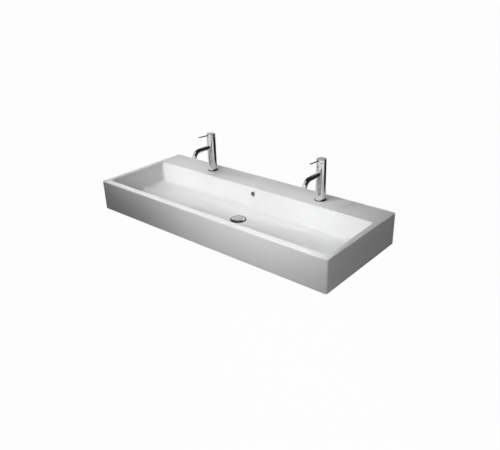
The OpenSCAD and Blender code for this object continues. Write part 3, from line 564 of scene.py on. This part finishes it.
def makeBasin(b):
    seeds = basinSeeds(b)
    count = len(seeds)
    rings = basinRings(b, seeds)
    bm = bmesh.new()
    tag = bm.verts.layers.int.new("seed")
    verts = [bm.verts.new(rings[0](i)) for i in range(count)]
    for i, v in enumerate(verts):
        v[tag] = i
    firstEdges = [bm.edges.new((verts[i], verts[(i + 1) % count])) for i in range(count)]
    edges = firstEdges
    for place in rings[1:]:
        verts, edges = extrudeLoop(bm, edges)
        for v in verts:
            v.co = place(v[tag])
    bmesh.ops.bridge_loops(bm, edges=edges + firstEdges)
    bmesh.ops.recalc_face_normals(bm, faces=bm.faces)

    # the overflow's duct, which stays inside the walls' thickness where it meets the bowl
    end, roof = b["flatRadius"] - places["wasteBack"], b["drainZ"] - b["ductCover"]
    side = [(end - b["ductSink"], b["bossFoot"]), (end - b["ductSink"], roof), (end, roof), *b["ductRoof"],
            (-b["ductBack"], b["bossFoot"])]
    duct = bmesh.new()
    face = duct.faces.new([duct.verts.new((-b["ductHalf"], y, z)) for y, z in side])
    sweep = bmesh.ops.extrude_face_region(duct, geom=[face])["geom"]
    bmesh.ops.translate(duct, verts=[g for g in sweep if isinstance(g, bmesh.types.BMVert)],
                        vec=(2 * b["ductHalf"], 0, 0))
    bmesh.ops.recalc_face_normals(duct, faces=duct.faces)
    ductUp = block((-b["ductHalf"], -b["ductFront"], b["ductFoot"]),
                   (b["ductHalf"], -b["ductBack"], b["ductTop"]))
    steps = [("UNION", duct), ("UNION", ductUp)]
    for x in (-b["fixX"], b["fixX"]):
        pad = rotated(cylinder(b["padRadius"], b["padDepth"] + b["padSink"], 64), -90, "X")
        steps.append(("UNION", moved(pad, x, -b["skirtWall"] - b["padDepth"], 0)))
    half, back, foot = b["boreHalf"], -b["boreBack"], b["boreFoot"]
    steps.append(("DIFFERENCE", block((-half, -b["boreFront"], foot), (half, back, b["boreTop"]))))
    steps.append(("DIFFERENCE", block((-half, -places["wasteBack"], foot), (half, back, b["boreRoof"]))))
    # the overflow's mouth is a turned cutter with a flared, rounded front
    r, flare = b["overflowRadius"], b["overflowFlare"]
    mouth = [(0, -b["overflowDeep"]), (r, -b["overflowDeep"]), (r, -flare)]
    mouth += arc(r + flare, -flare, flare, (157.5, 135, 112.5, 90))
    mouth += [(r + flare, b["overflowOut"]), (0, b["overflowOut"])]
    wallHigh = places["rimTop"] - b["footZ"]
    lean = math.degrees(math.atan2(b["draft"], wallHigh - b["footRadius"]))
    wallY = -b["bowlBack"] - b["draft"] * (places["rimTop"] - b["overflowZ"]) / wallHigh
    steps.append(("DIFFERENCE", moved(rotated(turned(mouth, 64), 90 - lean, "X"), 0, wallY, b["overflowZ"])))
    for x in tapSides.values():
        hole = cylinder(b["tapHole"], b["tapHoleLong"], 64)
        steps.append(("DIFFERENCE", moved(hole, x, -places["tapBack"], b["tapHoleFoot"])))
    for x in (-b["fixX"], b["fixX"]):
        hole = rotated(cylinder(b["fixHole"], b["fixLong"], 48), 90, "X")
        steps.append(("DIFFERENCE", moved(hole, x, b["fixOut"], 0)))
    return shaped(bm, *steps)


finishPiece(makeBasin(basinSize), "basinCasting", glaze, "root", "ceramic_glaze", "basin", sharp=38)
print("basin made")


# Waste, with its heights counted from the flange's underside

wasteSize = {
    "flangeRadius": 34.5, "flangeHigh": 4.5, "lipWidth": 4.5, "plate": 1.8, "plateEdge": 0.6, "lipFoot": 0.5,
    "tailRadius": 20.95, "tailBore": 18.55, "tailLength": 80,
    "threadPitch": 2.309, "threadDepth": 1.0, "threadFoot": 0.5, "threadEnd": 0.3,
    "reliefZ": -40, "reliefWide": 2, "reliefDeep": 0.8,
    "windows": 4, "windowZ": -14, "windowHigh": 9, "windowWide": 14,
    "hubTop": -24, "hubHigh": 8, "hubRadius": 8.7, "hubBore": 5.6,
    "armHalf": 1.75, "armSink": 1.5, "armAngles": (90, 210, 330),
    "plugRadius": 28.75, "plugUnder": 2.6, "plugEdge": 1.8, "plugCrown": 1.2, "plugBoss": 6,
    "plugChamfer": 0.4, "plugRound": [(0, -0.7), (-0.25, -0.15), (-0.7, 0.06)],
    "plugFace": 24.3, "faceDrop": 0.25, "faceSteps": 10,
    "nutAcross": 62, "nutHigh": 12, "nutBore": 21.05, "nutRim": 2, "nutTop": -24.5,
}


def onWaste(bm, z=0):
    return moved(bm, 0, -places["wasteBack"], places["flangeUnder"] + z)


def thread(radius, depth, pitch, low, high, steps):  # one ridge turned round the axis as it climbs
    bm = bmesh.new()
    turns = max(1, int((high - low) / pitch) - 1)
    half = pitch / 2
    foot, crest = half * 0.98, half * 0.12
    root = radius - depth - 0.15  # sunk a little into the rod
    profile = [(root, -foot), (radius, -crest), (radius, crest), (root, foot)]
    verts = [bm.verts.new((r, 0, low + half + z)) for r, z in profile]
    edges = [bm.edges.new(pair) for pair in zip(verts, verts[1:] + verts[:1])]
    bm.faces.new(verts)
    last = bmesh.ops.spin(bm, geom=verts + edges, cent=(0, 0, 0), axis=(0, 0, 1), angle=math.tau * turns,
                          dvec=(0, 0, pitch / steps), steps=turns * steps, use_merge=False,
                          use_duplicate=False)
    ends = [g for g in last["geom_last"] if isinstance(g, bmesh.types.BMVert)]
    bmesh.ops.contextual_create(bm, geom=ends)
    bmesh.ops.recalc_face_normals(bm, faces=bm.faces)
    return bm


def hexNut(across, high, bore, rim):  # a hexagon with its corners turned off, its bore chamfered
    def cutter(end, middle, inset):  # reaches 1 mm past both faces of the nut
        half = [(0, -1), (end, -1), (middle, inset)]
        return turned(half + [(r, high - z) for r, z in reversed(half)], 72)
    face, clear, flare, bevel = across / 2 * 0.9, across / 2 * 1.01, bore + 1.6, 0.6
    limit, hole = cutter(face, clear, rim), cutter(flare, bore, bevel)
    return shaped(cylinder(across / 2, high, 6), ("INTERSECT", limit), ("DIFFERENCE", hole))


def makeWaste(w):
    flange, lip, plate = w["flangeRadius"], w["lipWidth"], w["plate"]
    tail, bore = w["tailRadius"], w["tailBore"]
    relief, reliefTop = tail - w["reliefDeep"], w["reliefZ"] + w["reliefWide"]
    profile = [(bore, -w["tailLength"]), (tail, -w["tailLength"]), (tail, w["reliefZ"]),
               (relief, w["reliefZ"]), (relief, reliefTop), (tail, reliefTop), (tail, 0),
               (flange - w["lipFoot"], 0), (flange, w["plateEdge"])]
    profile += arc(flange - lip / 2, w["flangeHigh"] - lip / 2, lip / 2, range(0, 181, 15))
    profile += [(flange - lip, plate + w["lipFoot"]), (flange - lip - w["lipFoot"], plate),
                (bore + w["plateEdge"], plate), (bore, plate - w["plateEdge"])]
    steps = []
    for k in range(w["windows"]):
        window = block((bore - 1, -w["windowWide"] / 2, w["windowZ"]),
                       (tail + 1, w["windowWide"] / 2, w["windowZ"] + w["windowHigh"]))
        steps.append(("DIFFERENCE", rotated(window, 45 + 360 / w["windows"] * k, "Z")))
    top, foot = w["hubTop"], w["hubTop"] - w["hubHigh"]
    for angle in w["armAngles"]:
        arm = block((w["hubRadius"] - w["armSink"], -w["armHalf"], foot), (bore + 1, w["armHalf"], top))
        steps.append(("UNION", rotated(arm, angle, "Z")))
    body = shaped(turned(profile, 120, True), *steps)
    section = [(w["hubBore"], foot), (w["hubRadius"], foot), (w["hubRadius"], top), (w["hubBore"], top)]
    hub = turned(section, 48, True)
    low, high = w["threadFoot"] - w["tailLength"], w["reliefZ"] - w["threadEnd"]
    ridges = thread(tail, w["threadDepth"], w["threadPitch"], low, high, 48)
    return onWaste(joined(body, hub, ridges))


def makePlug(w):
    under, top, radius, boss = w["plugUnder"], w["plugUnder"] + w["plugEdge"], w["plugRadius"], w["plugBoss"]
    chamfer = w["plugChamfer"]
    profile = [(0, under - boss), (boss, under - boss), (boss, under),
               (radius - chamfer, under), (radius, under + chamfer)]
    profile += [(radius + out, top + up) for out, up in w["plugRound"]]
    for k in range(w["faceSteps"], -1, -1):  # the crowned face, from its edge to the middle
        t = k / w["faceSteps"]
        profile.append((w["plugFace"] * t, top + w["plugCrown"] - w["faceDrop"] * t ** 2))
    return onWaste(turned(profile, 120))


finishPiece(makeWaste(wasteSize), "wasteFlangeAndTail", flangeChromePaintedShadow, "root", "waste_chrome", "waste_body")
finishPiece(makePlug(wasteSize), "plugDisc", plugChromePaintedLight, "plug", "waste_chrome", "plug_cap")
backNut = hexNut(*(wasteSize[k] for k in ("nutAcross", "nutHigh", "nutBore", "nutRim")))
finishPiece(onWaste(backNut, wasteSize["nutTop"] - wasteSize["nutHigh"]), "wasteBackNut", wasteBrass, "root",
            "brass", "waste_back_nut")
print("waste made")


# Taps, with their heights counted from the deck

tapSize = {
    "radius": 20, "seal": 1.2, "height": 159, "topRound": 0.7, "smallRound": 0.4,
    "spigotRadius": 16.5, "spigotFoot": -7.8, "spigotBore": 14.6, "boreRadius": 15, "boreFoot": 126.2,
    "inletGap": 17.2, "inletFront": 5, "inletRadius": 4.5, "inletDeep": 12,
    "studRadius": 4, "studGap": 0.1, "studDeep": 10, "studCore": 3.5, "studTip": 0.6,
    "studFoot": -60.8, "studTop": 10.5,
    "threadDepth": 0.55, "threadPitch": 1.25, "threadFoot": -60.4, "threadTop": 9,
    "nutAcross": 15.01, "nutHigh": 6.5, "nutBore": 4.1, "nutRim": 0.8, "nutFoot": -26,
    "ringRadius": 24.5, "ringHigh": 8, "ringFoot": 1.1, "ringLip": 0.8, "ringGap": 0.1, "ringRound": 0.9,
    "spoutZ": 112.2, "spoutRadius": 10, "spoutBore": 8.5, "spoutReach": 81, "spoutSink": 6,
    "bendRadius": 32, "bend": 68, "spoutEnd": 8, "spoutRound": 0.45,
    "capFoot": 161.2, "capHigh": 12, "capRound": 1.4, "capFootRound": 0.5,
    "capDrop": 0.25, "capMidDrop": 0.06, "liftAngle": 22, "cutZ": 161.0,
    "leverZ": 166.7, "leverRise": 4, "leverRoot": 20.3, "leverReach": 80, "leverRadius": 3, "leverTip": 2.5,
    "leverCore": 2.5, "leverSink": 6, "leverEdge": 0.3,
}


def makeTapBody(t):
    seal, top, radius = t["seal"], t["seal"] + t["height"], t["radius"]
    bore, spigot = t["boreRadius"], t["spigotRadius"]
    body = turned([(0, t["boreFoot"]), (bore, t["boreFoot"]), (bore, top), (radius, top), (radius, seal),
                   (spigot, seal), (spigot, t["spigotFoot"]), (t["spigotBore"], t["spigotFoot"]),
                   (t["spigotBore"], seal), (0, seal)], 128)
    roundRings(body, [(radius, top)], t["topRound"], 4)
    roundRings(body, [(bore, top), (radius, seal), (spigot, t["spigotFoot"])], t["smallRound"], 2)
    half = t["inletGap"] / 2
    holes = [(x, -t["inletFront"], t["inletRadius"], t["inletDeep"]) for x in (-half, half)]
    holes.append((0, places["studBack"], t["studRadius"] + t["studGap"], t["studDeep"]))
    drills = [moved(cylinder(r, deep + 1, 40), x, y, seal - 1) for x, y, r, deep in holes]
    return shaped(body, *[("DIFFERENCE", drill) for drill in drills])


def makeBaseRing(t):
    flareW = t["ringRadius"] - t["radius"] - t["ringLip"]
    flareH = t["ringHigh"] - t["ringFoot"]
    r = (flareW * flareW + flareH * flareH) / (2 * flareW)
    end = math.degrees(math.atan2(-flareH, flareW - r)) % 360
    angles = [180 + (end - 180) * k / 10 for k in range(11)]
    curve = arc(t["radius"] + t["ringLip"] + r, t["ringHigh"], r, angles)
    bore = t["radius"] + t["ringGap"]
    ring = turned([(bore, 0), (bore, t["ringHigh"]), *curve, (t["ringRadius"], 0)], 128, True)
    roundRings(ring, [(t["ringRadius"], 0)], t["ringRound"], 4)
    return moved(ring, 0, 0, t["seal"])


def makeSpout(t):  # outer and inner wall are swept alike, then joined at both ends
    bm = bmesh.new()
    root, bend = t["spoutSink"] - t["radius"], math.radians(t["bend"])
    bendCentre = (0, -t["spoutReach"], t["spoutZ"] - t["bendRadius"])
    endPiece = (0, -math.cos(bend) * t["spoutEnd"], -math.sin(bend) * t["spoutEnd"])
    starts, ends = [], []
    for radius in (t["spoutRadius"], t["spoutBore"]):
        ring = bmesh.ops.create_circle(bm, cap_ends=False, segments=56, radius=radius)["verts"]
        bmesh.ops.rotate(bm, verts=ring, cent=(0, 0, 0), matrix=Matrix.Rotation(math.radians(90), 3, "X"))
        bmesh.ops.translate(bm, verts=ring, vec=(0, root, t["spoutZ"]))
        loop = list(dict.fromkeys(e for v in ring for e in v.link_edges))
        starts += loop
        verts, loop = extrudeLoop(bm, loop)
        bmesh.ops.translate(bm, verts=verts, vec=(0, -root - t["spoutReach"], 0))
        bent = bmesh.ops.spin(bm, geom=loop, cent=bendCentre, axis=(1, 0, 0), angle=bend, steps=28,
                              use_merge=False, use_duplicate=False)["geom_last"]
        verts, loop = extrudeLoop(bm, [g for g in bent if isinstance(g, bmesh.types.BMEdge)])
        bmesh.ops.translate(bm, verts=verts, vec=endPiece)
        ends += loop
    bmesh.ops.bridge_loops(bm, edges=ends)
    bmesh.ops.bridge_loops(bm, edges=starts)
    bmesh.ops.bevel(bm, geom=ends, offset=t["spoutRound"], offset_type="OFFSET", segments=3, profile=0.5,
                    affect="EDGES", material=-1, clamp_overlap=True)
    bmesh.ops.recalc_face_normals(bm, faces=bm.faces)
    return bm


def makeCap(t):  # its underside is cut on a slope, so that it can tip back with the lever
    foot, top, radius = t["capFoot"], t["capFoot"] + t["capHigh"], t["radius"]
    edge, middle = top - t["capDrop"], top - t["capMidDrop"]
    cap = turned([(0, foot), (radius, foot), (radius, edge), (radius / 2, middle), (0, top)], 128)
    roundRings(cap, [(radius, edge)], t["capRound"], 6)
    roundRings(cap, [(radius, foot)], t["capFootRound"], 2)
    a = math.radians(t["liftAngle"])
    cut = bmesh.ops.bisect_plane(cap, geom=cap.verts[:] + cap.edges[:] + cap.faces[:],
                                 plane_co=(0, 0, t["cutZ"]), plane_no=(0, -math.sin(a), math.cos(a)),
                                 clear_inner=True, clear_outer=False)
    bmesh.ops.contextual_create(cap, geom=[g for g in cut["geom_cut"] if isinstance(g, bmesh.types.BMEdge)])
    bmesh.ops.recalc_face_normals(cap, faces=cap.faces)
    return cap


def makeLever(t):
    length, tip, core, edge = t["leverReach"] - t["leverRoot"], t["leverTip"], t["leverCore"], t["leverEdge"]
    profile = [(0, -t["leverSink"]), (core, -t["leverSink"]), (core, 0), (t["leverRadius"] - edge, 0),
               (t["leverRadius"], edge)] + arc(0, length - tip, tip, range(0, 91, 15))
    lever = moved(turned(profile, 40), 0, 0, t["leverRoot"])
    return moved(rotated(lever, 90 - t["leverRise"], "X"), 0, 0, t["leverZ"])


def makeStud(t):
    core, tip, foot, top = t["studCore"], t["studTip"], t["studFoot"], t["studTop"]
    rod = turned([(0, foot), (core - tip, foot), (core, foot + tip), (core, top), (0, top)], 40)
    ridges = thread(t["studRadius"], t["threadDepth"], t["threadPitch"], t["threadFoot"], t["threadTop"], 20)
    return moved(joined(rod, ridges), 0, places["studBack"], 0)


def makeStudNut(t):
    nut = hexNut(t["nutAcross"], t["nutHigh"], t["nutBore"], t["nutRim"])
    return moved(nut, 0, places["studBack"], t["nutFoot"])


for side, x in tapSides.items():
    for make, piece, material, body, slot, node, sharp in (
        (makeTapBody, "TapBody", tapChrome, "root", "tap_chrome", "_tap_body", 32),
        (makeBaseRing, "BaseRing", ringChromePaintedShadow[side], "root", "tap_chrome", "_base_ring", 40),
        (makeSpout, "Spout", tapChrome, "root", "tap_chrome", "_spout", 40),
        (makeCap, "LeverCap", tapChrome, side + "_lift", "tap_chrome", "_lever_cap", 30),
        (makeLever, "Lever", tapChrome, side + "_lift", "tap_chrome", "_lever_pin", 50),
        (makeStud, "Stud", tapBrass[side], "root", "brass", "_fixing_stud", 32),
        (makeStudNut, "StudNut", tapBrass[side], "root", "brass", "_stud_nut", 32),
    ):
        bm = moved(make(tapSize), x, -places["tapBack"], places["rimTop"])
        finishPiece(bm, side + piece, material, body, slot, side + node, sharp=sharp)
    print(side, "tap made")


# CAD nodes that keep their own shape

def dress(node, material):
    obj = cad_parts[node]
    obj.data.materials.clear()
    obj.data.materials.append(material)


for node in ("waste_flange_seal", "waste_lower_seal", "plug_seal"):
    dress(node, rubber)
dress("click_housing", wasteBrass)
dress("click_spring", plugSteel)
dress("plug_plunger", plugSteel)
for side in tapSides:
    for node in ("base_seal", "rubber_shoe"):
        dress(side + "_" + node, rubber)
    for node in ("cartridge_base", "cartridge_housing", "disc_carrier", "rotor"):
        dress(side + "_" + node, cartridgePlastic)
    for node in ("fixed_disc", "moving_disc"):
        dress(side + "_" + node, discCeramic)
    for node in ("pivot_pin", "stem", "grub_screw", "clamp_shoe"):
        dress(side + "_" + node, tapSteel[side])
    dress(side + "_cartridge_nut", tapBrass[side])
    dress(side + "_aerator", aeratorPlastic)
print("carried-over nodes dressed")


# Camera, at the photograph's viewpoint, with its axes as fitted to the basin's corners

view = {
    "place": (1.453025, -1.829128, 0.960909),
    "right": (0.762659, 0.646270, -0.026219),
    "up": (-0.259910, 0.343333, 0.902535),
    "back": (0.592283, -0.681511, 0.429818),
    "lens": 40.426, "sensor": 36, "clipEnd": 300,
}
camera = bpy.data.objects.new("camera", bpy.data.cameras.new("camera"))
scene.collection.objects.link(camera)
camera.data.sensor_width = view["sensor"]
camera.data.lens = view["lens"]
camera.data.clip_end = view["clipEnd"]
axes = Matrix((view["right"], view["up"], view["back"])).transposed().to_4x4()
camera.matrix_world = Matrix.Translation(view["place"]) @ axes
scene.camera = camera


# Studio: floor, soft lamps, and cards that only reflections see; white surroundings are mirrorWhite in them

studio = {
    "floorZ": -0.80, "floorHalf": 90, "floorWhite": 0.9, "floorRough": 0.9, "floorShine": 0.1,
    "floorLift": 0.98, "mirrorWhite": 0.75,
    "lamps": {  # place, aim, size, spread in degrees, watts
        "deckLeft": ((-0.75, 0.2, 0.6), (-0.5, -0.06, 0.07), (0.5, 0.3), 80, 0.31),
        "leftLow": ((-1.3, -0.15, 0.5), (0.2, -0.06, 0.07), (0.15, 0.15), 50, 0.55),
        "deckMid": ((0, -0.03, 0.5), (0, -0.0601, 0.0), (0.3, 0.03), 60, 0.09),
        "deckRight": ((0.62, 0.25, 0.42), (0.5, -0.05, 0.07), (0.3, 0.2), 60, 0.08),
        "frontLow": ((0.2, -0.9, 0.25), (0.2, -0.45, 0), (0.7, 0.15), 110, 0.68),
        "wallLeft": ((-0.45, -0.7, 0.3), (-0.42, -0.13, 0.03), (0.4, 0.1), 50, 0.05),
        "wallEnd": ((-0.5, -0.62, 0.25), (-0.5, -0.13, 0.03), (0.25, 0.1), 40, 0.08),
        "wallGlow": ((-0.15, -0.41, 0.035), (-0.15, -0.13, 0.037), (0.4, 0.02), 50, 0.035),
        "wash": ((0, -0.78, 0.55), (0, -0.14, 0.01), (1.3, 0.15), 50, 0.85),
        "washR": ((0.4, -0.78, 0.55), (0.45, -0.14, 0.01), (0.3, 0.15), 60, 0.12),
        "rimTop": ((0, -0.452, 0.2), (0, -0.4521, 0.0), (1.2, 0.02), 70, 0.2),
        "keyFar": ((-0.6, -1.1, 1.0), (0.2, -0.1, 0.05), (0.15, 0.15), 60, 0.32),
        "keyHard": ((-0.25, -0.62, 0.62), (0.33, -0.03, 0.08), (0.08, 0.08), 30, 0.09),
        "rightFront": ((1.5, -1.0, 0.3), (0.5, -0.3, 0), (0.6, 0.6), 180, 3.36),
        "rightBack": ((1.3, 0.1, 0.2), (0.6, -0.3, 0), (0.5, 0.5), 180, 0.23),
        "backLow": ((0, 1.7, -0.1), (0, 0, 0), (1.4, 0.3), 80, 4),
        "leftEnd": ((-2.0, -0.22, -0.1), (-0.6, -0.22, 0), (0.5, 0.3), 80, 1.3),
    },
    "cards": {  # place, aim, size, grey
        "lowBoard": ((0.95, 0.38, -0.35), (0.95, 2, -0.35), (3.1, 1.1), 0.02),
        "tallBoard": ((-0.7, 6, 3.8), (-0.7, -2, 3.8), (22.6, 9.2), 0.02),
        "ceiling": ((1, 0, 4), (1, 0, 0), (14, 12), 0.02),
        "softbox": ((-1, -3.6, 3.9), (-1, -3.6, 0), (5, 4.8), 0.6),
        "rightBoard": ((8, 1.2, 2.7), (0, 1.2, 2.7), (10.5, 5), 0.02),
        "flagLeft": ((-2.3, -1.3, -0.1), (0, -1.0, -0.1), (2.2, 1.3), 0.5),
    },
    "fades": {"tallBoard": (0.45, 7.9, 9.7)},  # grey at one end, and where the fade starts and ends
}


def addLamp(name, place, aim, size, spread, watts):
    data = bpy.data.lights.new(name, "AREA")
    data.shape = "RECTANGLE"
    data.size, data.size_y = size
    data.energy = watts
    data.spread = math.radians(spread)
    obj = bpy.data.objects.new(name, data)
    scene.collection.objects.link(obj)
    obj.location = place
    obj.rotation_euler = (Vector(aim) - Vector(place)).to_track_quat("-Z", "Y").to_euler()
    obj.visible_camera = False
    obj.visible_glossy = False


def addFloor(s):  # lights the object as a pale floor does, and looks white to the camera and in mirrors
    bm = bmesh.new()
    bmesh.ops.create_grid(bm, x_segments=2, y_segments=2, size=s["floorHalf"])
    mesh = bpy.data.meshes.new("studioFloor")
    moved(bm, 0, 0, s["floorZ"]).to_mesh(mesh)
    bm.free()
    floor = bpy.data.objects.new("studioFloor", mesh)
    scene.collection.objects.link(floor)
    material, tree, shader, coords = startMaterial("floorWhite", (s["floorWhite"],) * 3, 0, s["floorRough"])
    shader.inputs["Specular IOR Level"].default_value = s["floorShine"]
    glow = tree.nodes.new("ShaderNodeEmission")
    path = tree.nodes.new("ShaderNodeLightPath")
    mix = tree.nodes.new("ShaderNodeMixShader")
    output = next(n for n in tree.nodes if n.type == "OUTPUT_MATERIAL")
    mirrored = combine(tree, "MAXIMUM", path.outputs["Is Glossy Ray"], path.outputs["Is Transmission Ray"])
    seen = combine(tree, "MAXIMUM", path.outputs["Is Camera Ray"], mirrored)
    tree.links.new(combine(tree, "MULTIPLY", seen, s["floorLift"]), mix.inputs["Fac"])
    dimmed = combine(tree, "MULTIPLY", path.outputs["Is Glossy Ray"], s["mirrorWhite"] - 1)
    tree.links.new(combine(tree, "ADD", dimmed, 1), glow.inputs["Strength"])
    tree.links.new(shader.outputs["BSDF"], mix.inputs[1])
    tree.links.new(glow.outputs["Emission"], mix.inputs[2])
    tree.links.new(mix.outputs["Shader"], output.inputs["Surface"])
    mesh.materials.append(material)


def addCard(name, place, aim, size, grey):
    bm = bmesh.new()
    bmesh.ops.create_grid(bm, x_segments=1, y_segments=1, size=0.5)
    bmesh.ops.scale(bm, vec=(*size, 1), verts=bm.verts)
    mesh = bpy.data.meshes.new(name)
    bm.to_mesh(mesh)
    bm.free()
    obj = bpy.data.objects.new(name, mesh)
    scene.collection.objects.link(obj)
    obj.location = place
    obj.rotation_euler = (Vector(aim) - Vector(place)).to_track_quat("Z", "Y").to_euler()
    material, tree, shader, coords = startMaterial(name, (0, 0, 0), 0, 1)
    shader.inputs["Specular IOR Level"].default_value = 0
    shader.inputs["Emission Color"].default_value = (1, 1, 1, 1)
    shader.inputs["Emission Strength"].default_value = grey
    if name in studio["fades"]:
        lowGrey, start, end = studio["fades"][name]
        split = tree.nodes.new("ShaderNodeSeparateXYZ")
        tree.links.new(coords, split.inputs["Vector"])
        tone = between(tree, split.outputs["X"], lowGrey, grey, start - size[0] / 2, end - size[0] / 2, True)
        tree.links.new(tone, shader.inputs["Emission Strength"])
    mesh.materials.append(material)
    obj.visible_camera = False
    obj.visible_diffuse = False
    obj.visible_shadow = False
    obj.visible_transmission = False


def setWorld(s):  # white to the camera, and no light of its own
    world = bpy.data.worlds.new("studio")
    scene.world = world
    world.use_nodes = True
    tree = world.node_tree
    back = next(n for n in tree.nodes if n.type == "BACKGROUND")
    back.inputs["Color"].default_value = (1, 1, 1, 1)
    path = tree.nodes.new("ShaderNodeLightPath")
    seen = combine(tree, "MAXIMUM", path.outputs["Is Camera Ray"], path.outputs["Is Transmission Ray"])
    dimmed = combine(tree, "MULTIPLY", path.outputs["Is Glossy Ray"], s["mirrorWhite"])
    tree.links.new(combine(tree, "MAXIMUM", seen, dimmed), back.inputs["Strength"])


for name, lamp in studio["lamps"].items():
    addLamp(name, *lamp)
for name, card in studio["cards"].items():
    addCard(name, *card)
addFloor(studio)
setWorld(studio)
scene.view_settings.view_transform = "Standard"
print("studio set")
